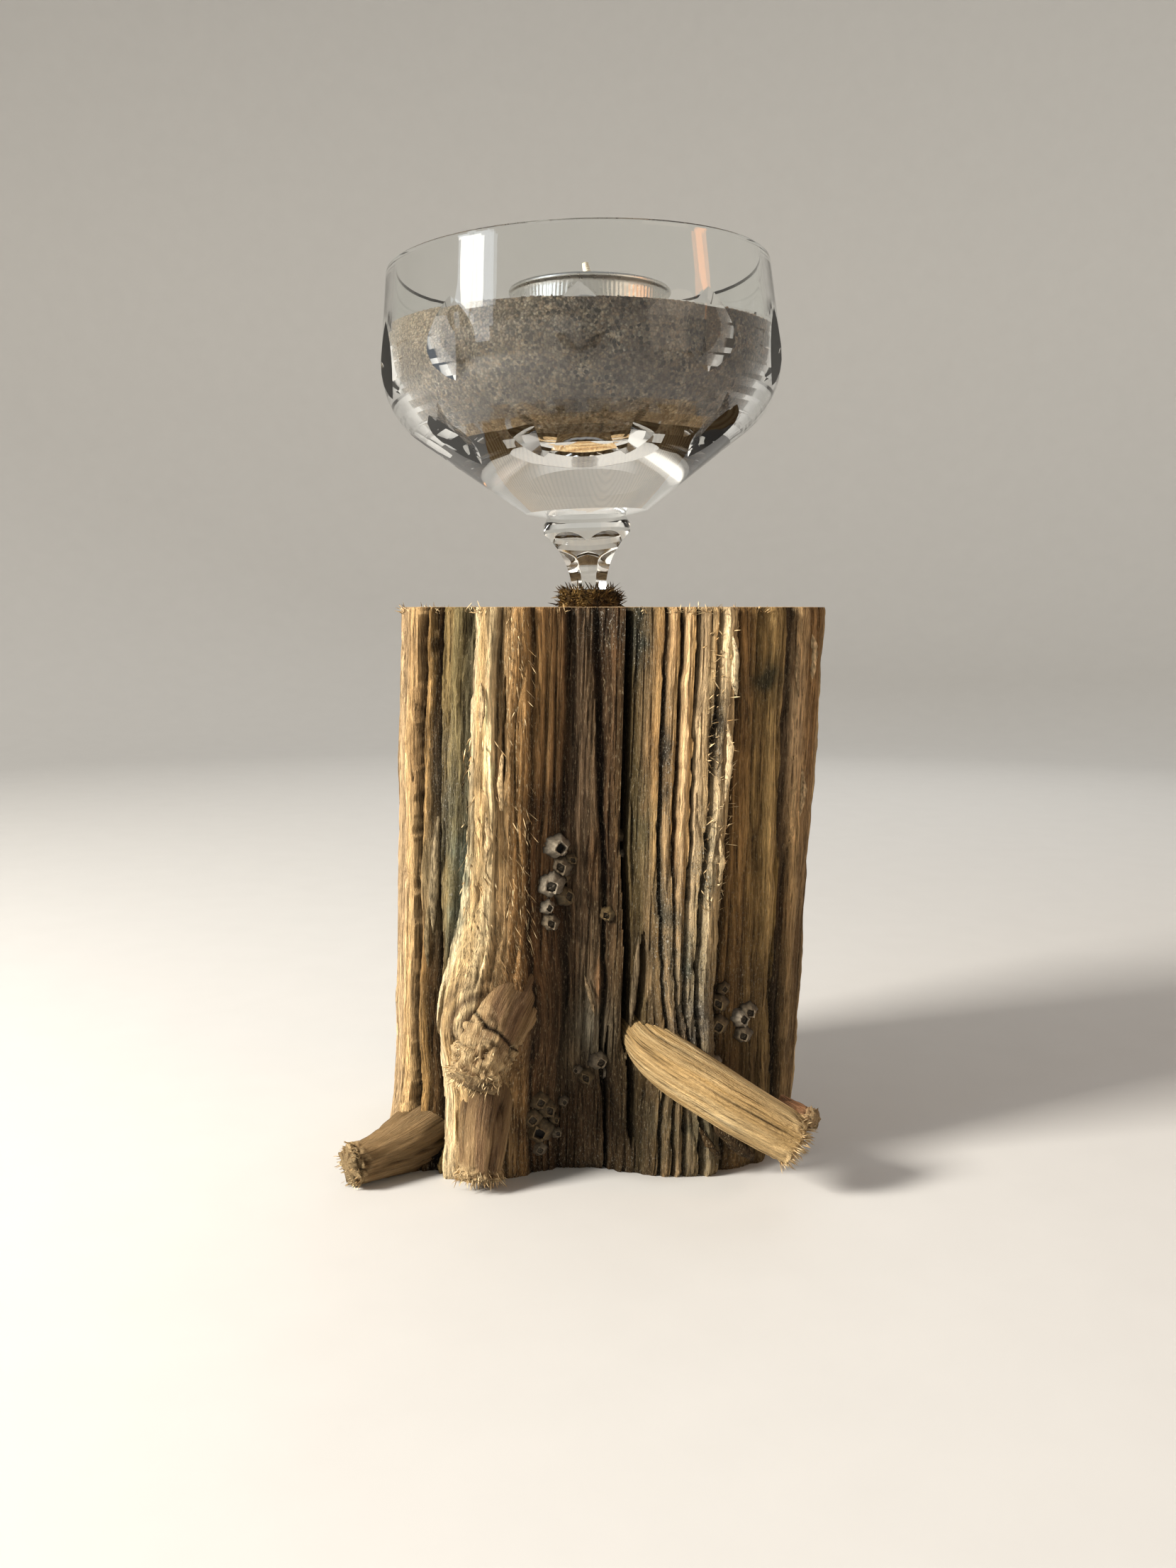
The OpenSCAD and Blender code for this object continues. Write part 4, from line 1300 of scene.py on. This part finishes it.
# Barnacles: (across, height, radius, rise, turn in degrees, shade, open), in mm, read on the front
BARNACLES = {
    "barnacles_upper": [
        (-7.4, 75.2, 2.3, 2.9, 8, 0, True), (-6.5, 70.7, 1.95, 2.6, 20, 1, False),
        (-4.2, 72.2, 1.2, 1.6, 40, 2, False), (-8.4, 66.7, 2.35, 2.9, 28, 0, False),
        (-5.8, 64.1, 2.0, 2.0, 15, 2, False), (-9.4, 61.8, 1.35, 2.0, 10, 0, False),
        (-8.9, 58.3, 1.6, 2.2, 25, 1, False), (-5.7, 67.9, 1.1, 1.4, 50, 2, False)],
    "barnacle_lone": [(4.2, 59.8, 1.5, 2.0, 30, 2, False)],
    "barnacles_middle": [
        (1.9, 26.1, 1.8, 2.2, 12, 1, False), (-1.0, 22.4, 1.6, 2.0, 30, 2, False),
        (-2.7, 24.1, 0.9, 1.3, 5, 1, False), (3.2, 22.6, 1.4, 1.2, 44, 0, False)],
    "barnacles_lower": [
        (-11.5, 16.9, 1.8, 1.8, 15, 2, False), (-9.9, 15.0, 1.8, 2.1, 32, 2, False),
        (-13.1, 13.1, 1.8, 1.6, 4, 2, False), (-11.2, 9.9, 2.4, 2.3, 20, 2, True),
        (-7.9, 9.2, 1.15, 1.5, 44, 1, False), (-5.9, 16.4, 1.0, 1.4, 9, 1, False),
        (-8.2, 12.4, 1.0, 1.3, 22, 2, False), (-11.5, 5.6, 1.4, 1.2, 14, 1, False)],
    "barnacles_right": [
        (35.6, 37.5, 1.7, 2.4, 38, 1, False), (33.6, 36.2, 1.9, 2.6, 10, 0, False),
        (34.5, 32.2, 1.7, 2.2, 25, 1, False), (28.7, 34.8, 2.0, 2.2, 16, 2, False),
        (28.3, 26.6, 1.1, 1.5, 40, 0, False), (30.0, 43.3, 1.2, 1.5, 8, 2, False),
        (28.8, 40.1, 1.7, 2.0, 28, 2, False)],
}
CRACK_SHELLS = [(6.9, 77.0, 1.3, 1.6, 12, 2, False), (7.3, 73.4, 0.8, 1.4, 30, 1, False)]
SHELL_SHADES = ["#7E7464", "#685C4A", "#5C4C32"]
SHELL_SIDES = 36
PLATE_RIBS, FINE_RIBS = 6, 17


def barnacle_mesh(radius, rise, turn, shade, is_open, seed):
    """One barnacle standing on its base at zero: ribbed outside, four sided mouth, closing plates inside."""
    a = angles_round(SHELL_SIDES)
    phase = np.random.default_rng(seed).uniform(0, 6.28)
    ribs = 0.09 * np.cos(PLATE_RIBS * a + phase) + 0.045 * np.cos(FINE_RIBS * a + 2 * phase)
    girth = radius * (1 + 0.10 * np.cos(a + phase) + 0.07 * np.cos(2 * a + 1.3 * phase))
    # a four sided mouth, longer one way, turned with the animal
    b = a - math.radians(turn)
    mouth = 0.60 / (np.abs(np.cos(b)) * 1.25 + np.abs(np.sin(b)) * 0.85)
    teeth = 0.05 * np.cos(PLATE_RIBS * a + phase)
    out = np.array(linear(SHELL_SHADES[shade])[:3])
    dark = np.array(linear("#1A1511")[:3])
    # each row from the base up and in: radius, height and colour
    rows = []
    for t in (-0.15, 0.0, 0.25, 0.5, 0.75, 0.92):
        up = max(t, 0)
        grow = 1.12 - 0.46 * up**1.4 + ribs * (1.1 - up * 0.6)
        edge = (1 - t**3) if t > 0 else 1
        rows.append((girth * grow * (0.6 + 0.4 * edge), rise * t, out * (0.22 + 0.75 * t)))
    rows.append((girth * (mouth + 0.10), rise * (1 + teeth), out * 1.2))
    rows.append((girth * mouth, rise * (0.97 + teeth), out * 0.9))
    # painted shade: the floor of the mouth is painted near black, darker still in an open one
    floor, painted_mouth_shade = (0.35, 0.6) if is_open else (0.72, 1.0)
    rows.append((girth * mouth * 0.92, rise * floor, dark * painted_mouth_shade))
    if is_open:
        rows.append((radius * mouth * 0.4, rise * 0.3, dark * 0.5))
        last = rise * 0.28
    else:
        slit = np.abs(np.sin(b)) * 0.14
        rows.append((radius * mouth * 0.8, rise * (0.80 - slit), out * 0.30))
        rows.append((radius * mouth * 0.42, rise * (0.92 - 1.3 * slit), out * 0.36))
        rows.append((radius * mouth * 0.12, rise * (0.95 - 1.3 * slit), out * 0.22))
        last = rise * 0.84
    points = [np.column_stack([r * np.cos(a), r * np.sin(a), np.broadcast_to(z, SHELL_SIDES)])
              for r, z, _ in rows]
    points = np.vstack([*points, [0, 0, -0.15 * rise], [0, 0, last]])
    colours = np.vstack([*(np.tile(tone, (SHELL_SIDES, 1)) for _, _, tone in rows), out * 0.5, dark])
    tip = SHELL_SIDES * len(rows)
    faces = grid_faces(len(rows), SHELL_SIDES) + fan(tip, 0, SHELL_SIDES, flip=True)
    faces += fan(tip + 1, tip - SHELL_SIDES, SHELL_SIDES)
    return points, faces, np.clip(colours, 0, 1)


# How far in front of the block, in metres, its skin is looked at from
VIEW_FROM = 0.12


def wood_tree():
    """A search tree of the finished driftwood, so that what grows on it can be set on its skin."""
    wood = bpy.data.objects["driftwood"]
    corners = [vertex.co[:] for vertex in wood.data.vertices]
    return BVHTree.FromPolygons(corners, [face.vertices[:] for face in wood.data.polygons])


def on_front(tree, x, z):
    """The place and the outward normal of the wood's skin at (x, z) in mm, looking from the front."""
    hit, normal, _, _ = tree.ray_cast(Vector((x * MM, -VIEW_FROM, z * MM)), Vector((0, 1, 0)))
    if hit is None:
        raise RuntimeError(f"no wood at {x}, {z}")
    return np.array(hit) / MM, np.array(normal)


# Splinters and curled flakes that stand on the front: points (across, height, how far out) down each, the
# half width in mm, and the colour
FLAKES = [
    ([(10.9, 55, 0.2), (10.4, 48, 0.5), (9.7, 41, 0.5), (9.1, 34, 0.1)], 0.75, "#7A6A52"),
    ([(-33.6, 82, 0.1), (-34.4, 73, 0.9), (-35.0, 64, 1.0), (-35.4, 55, 0.2)], 1.0, "#978668"),
    ([(-36.2, 62, 0.1), (-36.8, 54, 0.7), (-36.6, 47, 0.1)], 0.7, "#8A7858"),
    ([(30.6, 122, 0.1), (31.4, 118, 1.1), (31.0, 113, 1.0), (31.6, 109, 0.2)], 0.8, "#DCC69E"),
    ([(29.8, 103, 0.1), (30.4, 98, 1.0), (30.0, 92, 0.8), (29.4, 86, 0.1)], 0.8, "#DAC298"),
    ([(28.4, 78, 0.1), (29.0, 73, 0.9), (28.4, 68, 0.2)], 0.6, "#D6BC90"),
    ([(49.6, 122, 0.0), (50.2, 118, 0.8), (49.8, 112, 0.1)], 0.8, "#C8AC84"),
    ([(46.4, 120, 0.1), (46.0, 114, 0.8), (46.6, 108, 0.1)], 0.6, "#C6A880"),
    ([(47.8, 92, 0.0), (48.2, 87, 0.7), (47.6, 81, 0.1)], 0.7, "#BCA07A"),
    ([(-23.4, 112, 0.1), (-23.0, 107, 0.9), (-23.6, 101, 0.1)], 0.6, "#D4B88C"),
    ([(-18.9, 97, 0.1), (-19.4, 90, 1.0), (-19.0, 84, 0.2)], 0.7, "#CBAE82"),
    ([(-22.6, 84, 0.1), (-22.0, 78, 0.8), (-22.8, 72, 0.1)], 0.6, "#D0B488"),
    ([(-1.2, 46, 0.2), (0.2, 41, 1.0), (1.2, 37, 0.4)], 0.5, "#8A765A"),
    ([(27.0, 17, 0.4), (30.0, 12, 3.0), (33.4, 7.4, 4.4), (37.0, 3.4, 3.6)], 2.5, "#4C3C28"),
    ([(31.0, 16, 0.4), (34.0, 11, 3.2), (37.0, 7.4, 4.4), (39.6, 4.6, 3.4)], 2.1, "#5E4C32"),
    ([(24.6, 12, 0.2), (27.0, 8, 1.2), (29.6, 4.4, 0.6)], 1.0, "#4A3A26"),
]


def flake_mesh(path, half_width, seed):
    """A long flat splinter, widest in its middle, with ragged sides. Its path is in mm."""
    steps, sides = 26, 8
    t = np.linspace(0, 1, steps)
    knots = np.linspace(0, 1, len(path))
    mid = np.stack([np.interp(t, knots, [point[k] for point in path]) for k in range(3)], axis=-1)
    wide = half_width * np.clip(np.sin(math.pi * t), 0.03, 1) ** 0.6
    wide = wide * (1 + 0.4 * lattice(t * 12, np.full(steps, 0.5), seed))
    turn = angles_round(sides)
    rows = np.empty((steps, sides, 3))
    rows[..., 0] = mid[:, None, 0] + wide[:, None] * np.cos(turn)
    rows[..., 1] = mid[:, None, 1] + 0.34 * wide[:, None] * np.sin(turn)
    rows[..., 2] = mid[:, None, 2]
    points = np.vstack([rows.reshape(-1, 3), mid[0], mid[-1]])
    tip = steps * sides
    faces = grid_faces(steps, sides) + fan(tip, 0, sides, flip=True) + fan(tip + 1, tip - sides, sides)
    return points, faces


class HOLDER_OT_flakes(bpy.types.Operator):
    """Set the splinters and curled flakes of wood on the front of the block"""

    bl_idname = "holder.flakes"
    bl_label = "Flakes"

    def execute(self, context):
        tree = wood_tree()
        points, faces, tones = [], [], []
        for seed, (marks, half_width, tone) in enumerate(FLAKES):
            path = []
            for x, z, lift in marks:
                skin = min(on_front(tree, x + side, z)[0][1] for side in (-1.6, 0, 1.6))
                path.append((x, skin - lift, z))
            new, new_faces = flake_mesh(path, half_width, 700 + seed)
            faces += [[len_before(points) + i for i in face] for face in new_faces]
            shade = 1 + 0.5 * lattice(new[:, 2] * 1.7, new[:, 0] * 3.0 + 50, 720 + seed)
            tones.append(np.array(linear(tone)[:3]) * shade[:, None])
            points.append(new)
        points = np.vstack(points)
        points[:, 2] = np.maximum(points[:, 2], FLOOR_GAP)
        made = outward(new_object("driftwood_flakes", points, faces))
        store(made, "tone", np.clip(np.vstack(tones), 0, 1))
        store(made, "salt", np.full(len(points), 0.04))
        store(made, "fray", np.full(len(points), 0.4))
        store(made, "flow", points * MM, "VECTOR")
        made.data.materials.append(material(weathered_driftwood))
        carry(made, "root", "driftwood")
        return {"FINISHED"}


class HOLDER_OT_barnacles(bpy.types.Operator):
    """Grow the groups of barnacles on the front of the block"""

    bl_idname = "holder.barnacles"
    bl_label = "Barnacles"

    def execute(self, context):
        tree = wood_tree()
        groups = dict(BARNACLES)
        groups["crack_shells"] = CRACK_SHELLS
        for name, members in groups.items():
            points, faces, colours = [], [], []
            for seed, (x, z, radius, rise, turn, shade, is_open) in enumerate(members):
                ring = [on_front(tree, x + radius * dx, z + radius * dz)
                        for dx, dz in ((0, 0), (0.7, 0), (-0.7, 0), (0, 0.7), (0, -0.7))]
                spot_at = ring[0][0]
                spot_at[1] = np.median([place[1] for place, _ in ring])
                normal = sum(n for _, n in ring)
                normal = normal * (1, 1, 0.3) + (0, -1.6, 0)
                normal = normal / np.linalg.norm(normal)
                turned = Vector(normal).to_track_quat("Z", "Y").to_matrix()
                new, new_faces, tones = barnacle_mesh(radius * 1.12, rise, turn, shade, is_open, 40 + seed)
                placed = new @ np.array(turned).T + spot_at
                faces += [[len_before(points) + i for i in face] for face in new_faces]
                points.append(placed)
                colours.append(tones)
            group = outward(new_object(name + "_shell", np.vstack(points), faces))
            store(group, "tone", np.vstack(colours))
            group.data.materials.append(material(barnacle_shell))
            group.data.set_sharp_from_angle(angle=math.radians(60))
            carry(group, "root", "barnacle", *([name] if name in BARNACLES else []))
        return {"FINISHED"}

def skin_patch(name, tree, x0, x1, z0, z1, step=1.2):
    """A patch of the wood's skin between two heights, read on the front."""
    across = np.linspace(x0, x1, max(2, int((x1 - x0) / step)))
    heights = np.linspace(z0, z1, max(2, int((z1 - z0) / step)))
    points = [on_front(tree, x, z)[0] - (0, 0.05, 0) for z in heights for x in across]
    n = len(across)
    faces = [[j * n + i, j * n + i + 1, (j + 1) * n + i + 1, (j + 1) * n + i]
             for j in range(len(heights) - 1) for i in range(n - 1)]
    return new_object(name, points, faces)


# Frayed places on the front: name, (x0, x1, z0, z1), fibres per mm2, length, thickness, bend, spread, lie
FRAYED = [
    ("fray_band", (-18.0, -12.8, 52, 126), 0.35, 1.6, 0.022, 9.0, 0.7, (0.0, 0.6, -1.6)),
    ("fray_ridge", (-28.0, -19.5, 52, 100), 0.15, 1.8, 0.028, 9.0, 0.7, (0.3, 0.5, -1.6)),
    ("fray_flake", (25.0, 31.0, 60, 124), 0.35, 1.4, 0.028, 8.0, 0.9, (0.0, 0.2, 0.6)),
]
# Torn ends of the stubs: name, where the fibres start, fibres per mm2, length, thickness
STUB_FRAY = [
    ("branch", 0.95, 1.2, 1.3, 0.035), ("root", 0.88, 0.8, 0.8, 0.03), ("knot", 0.80, 0.35, 1.1, 0.03),
    ("toe", 0.80, 1.0, 1.2, 0.035)]


def torn_end(name, share):
    """The last part of a stub's skin as a mesh for fibres to stand on, and the way that they lie."""
    path, _, sides, rings = next(entry[1:5] for entry in STUBS if entry[0] == name)
    skin = bpy.data.objects["driftwood_" + name].data.vertices
    points = np.array([vertex.co[:] for vertex in skin]) / MM
    start = int(rings * share) * sides
    faces = [[i - start for i in face] for face in grid_faces(rings, sides) if min(face) >= start]
    faces += fan(len(points) - 1 - start, (rings - 1) * sides - start, sides, flip=True)
    path = np.array(path, dtype=float)
    ahead = (path[-1] - path[-2]) / np.linalg.norm(path[-1] - path[-2])
    return new_object(f"{name}_fray", points[start:], faces), tuple(ahead * (1.6, 1.6, 1.0))


class HOLDER_OT_fibres(bpy.types.Operator):
    """Add the torn fibres along the sawn edge, on the knots and at the broken ends"""

    bl_idname = "holder.fibres"
    bl_label = "Torn fibres"

    def execute(self, context):
        block, _ = settings()
        tree = wood_tree()
        fringe = fringe_tree()
        side = trunk_surface(block.flute_depth, block.crack_depth)[0]
        columns = side.shape[1]
        strip = side[-3:-1].reshape(-1, 3)
        tufts = lattice(np.arange(columns) / 9.0, np.full(columns, 3.5), 97, 60) > 0.05
        quads = [face for face, keep in zip(grid_faces(2, columns), tufts) if keep]
        edge = new_object("edge_fibres", strip, quads)
        jobs = [(edge, 3.0, block.fibre_length, 0.022, 8.0, 1.0, (0.0, 0.0, 1.0))]
        for name, (x0, x1, z0, z1), per, length, thick, bend, spread, lie in FRAYED:
            jobs.append((skin_patch(name, tree, x0, x1, z0, z1), per, length * MM, thick, bend, spread, lie))
        for name, share, per, length, thick in STUB_FRAY:
            end, lie = torn_end(name, share)
            jobs.append((end, per, length * MM, thick, 6.0, 0.6, lie))
        for seed, (emitter, per, length, thick, bend, spread, lie) in enumerate(jobs):
            outward(emitter)
            applied(emitter, fringe, {
                "Count per mm2": per, "Length": length, "Thickness": thick * MM, "Bend": bend,
                "Spread": spread, "Lie along": lie, "Seed": 60 + seed, "Material": material(torn_fibre)})
            for vertex in emitter.data.vertices:
                vertex.co.z = max(vertex.co.z, FLOOR_GAP * MM)
            carry(emitter, "root", "driftwood")
        return {"FINISHED"}


# ---------------------------------------------------------------- stage

CAMERA_BACK = 0.335
CAMERA_RIGHT = -0.0004
CAMERA_DOWN = 7.29
LENS, SENSOR = 31.74, 36.0
MIDDLE = (0, 0, 0.12)
# Each light: name, place and aim, size and power in watts, colour, and the rays that it is hidden from
LIGHTS = [
    ("window_left", (-0.555, -0.239, 0.36), (0, 0, 0.14), (0.095, 0.46), 0.45, "#EAF4FF", ()),
    ("window_right", (-0.493, -0.348, 0.36), (0, 0, 0.14), (0.125, 0.46), 0.5, "#EAF4FF", ()),
    ("key_left", (-0.80, -0.36, 0.52), MIDDLE, (0.24, 0.24), 22.5, "#FFF8EE", ("glossy",)),
    ("warm_right", (0.52, -0.145, 0.32), (0.03, -0.04, 0.19), (0.07, 0.30), 0.26, "#FFA252", ()),
    ("fill_right", (0.75, -0.60, 0.30), MIDDLE, (0.5, 0.6), 0.9, "#FFE9D0", ()),
    ("back_rim", (0.25, 0.75, 0.6), MIDDLE, (0.7, 0.4), 2.5, "#FFFFFF", ("transmission", "glossy")),
]


def soft_box(name, place, aim, size, power, colour, hidden):
    """A rectangular studio light that faces a point. hidden names the rays that don't see it."""
    data = bpy.data.lights.new(name, "AREA")
    data.shape = "RECTANGLE"
    data.size, data.size_y = size
    data.energy = power
    data.color = linear(colour)[:3]
    made = bpy.data.objects.new(name, data)
    made.location = place
    made.rotation_euler = (Vector(aim) - Vector(place)).to_track_quat("-Z", "Y").to_euler()
    bpy.context.scene.collection.objects.link(made)
    for ray in ("camera", *hidden):
        setattr(made, "visible_" + ray, False)


class HOLDER_OT_stage(bpy.types.Operator):
    """Set the pale floor, the soft lights and the camera"""

    bl_idname = "holder.stage"
    bl_label = "Stage, lights and camera"

    def execute(self, context):
        scene = context.scene
        # a round floor that curves up into its backdrop, in mm
        bend = 500
        curve = [(900 + bend * math.sin(t), bend - bend * math.cos(t))
                 for t in np.radians(np.linspace(0, 90, 13))]
        points, faces = lathe([(0, 0), (300, 0), *curve, (1400, 2200)], 96)
        floor = new_object("studio_floor", points, faces)
        floor.data.materials.append(material(floor_paint))
        floor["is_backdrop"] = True
        camera = bpy.data.objects.new("camera", bpy.data.cameras.new("camera"))
        camera.data.lens = LENS
        camera.data.sensor_width = SENSOR
        camera.data.clip_start = 0.01
        camera.location = (CAMERA_RIGHT, -CAMERA_BACK, BLOCK_H * MM)
        camera.rotation_euler = (math.radians(90 - CAMERA_DOWN), 0, 0)
        scene.collection.objects.link(camera)
        scene.camera = camera
        for light in LIGHTS:
            soft_box(*light)
        world = bpy.data.worlds.new("studio")
        world.use_nodes = True
        back = world.node_tree.nodes["Background"]
        back.inputs["Color"].default_value = linear("#E9ECEF")
        back.inputs["Strength"].default_value = 0.32
        scene.world = world
        scene.view_settings.view_transform = "Standard"
        return {"FINISHED"}


class HOLDER_PT_panel(bpy.types.Panel):
    """Lists the pieces of the tealight holder"""

    bl_idname = "HOLDER_PT_panel"
    bl_label = "Tealight holder"
    bl_space_type = "VIEW_3D"
    bl_region_type = "UI"
    bl_category = "Tealight holder"

    def draw(self, context):
        for group in settings():
            for name in group.bl_rna.properties.keys():
                if name not in ("rna_type", "name"):
                    self.layout.prop(group, name)
        for operator in OPERATORS:
            self.layout.operator(operator.bl_idname)


OPERATORS = (HOLDER_OT_stage, HOLDER_OT_driftwood, HOLDER_OT_coupe, HOLDER_OT_hidden, HOLDER_OT_sand,
             HOLDER_OT_tealight, HOLDER_OT_moss, HOLDER_OT_flakes, HOLDER_OT_barnacles, HOLDER_OT_fibres)
CLASSES = (BlockSettings, BowlSettings, *OPERATORS, HOLDER_PT_panel)


def register():
    """Registers the add-on's classes and its settings."""
    for made in CLASSES:
        bpy.utils.register_class(made)
    bpy.types.Scene.holder_block = bpy.props.PointerProperty(type=BlockSettings)
    bpy.types.Scene.holder_bowl = bpy.props.PointerProperty(type=BowlSettings)


def unregister():
    """Takes the add-on's settings and classes away again."""
    del bpy.types.Scene.holder_bowl
    del bpy.types.Scene.holder_block
    for made in reversed(CLASSES):
        bpy.utils.unregister_class(made)


def corners():
    """The two corners of the box round what is there now."""
    return [list(corner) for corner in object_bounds()]


def main():
    """Builds everything."""
    register()
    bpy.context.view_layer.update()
    bpy.ops.holder.stage()
    bpy.ops.holder.driftwood()
    bpy.ops.holder.coupe()
    bpy.ops.holder.hidden()
    bpy.ops.holder.sand()
    bpy.ops.holder.tealight()
    bpy.ops.holder.moss()
    bpy.ops.holder.flakes()
    bpy.ops.holder.barnacles()
    bpy.ops.holder.fibres()


if __name__ == "__main__":
    main()
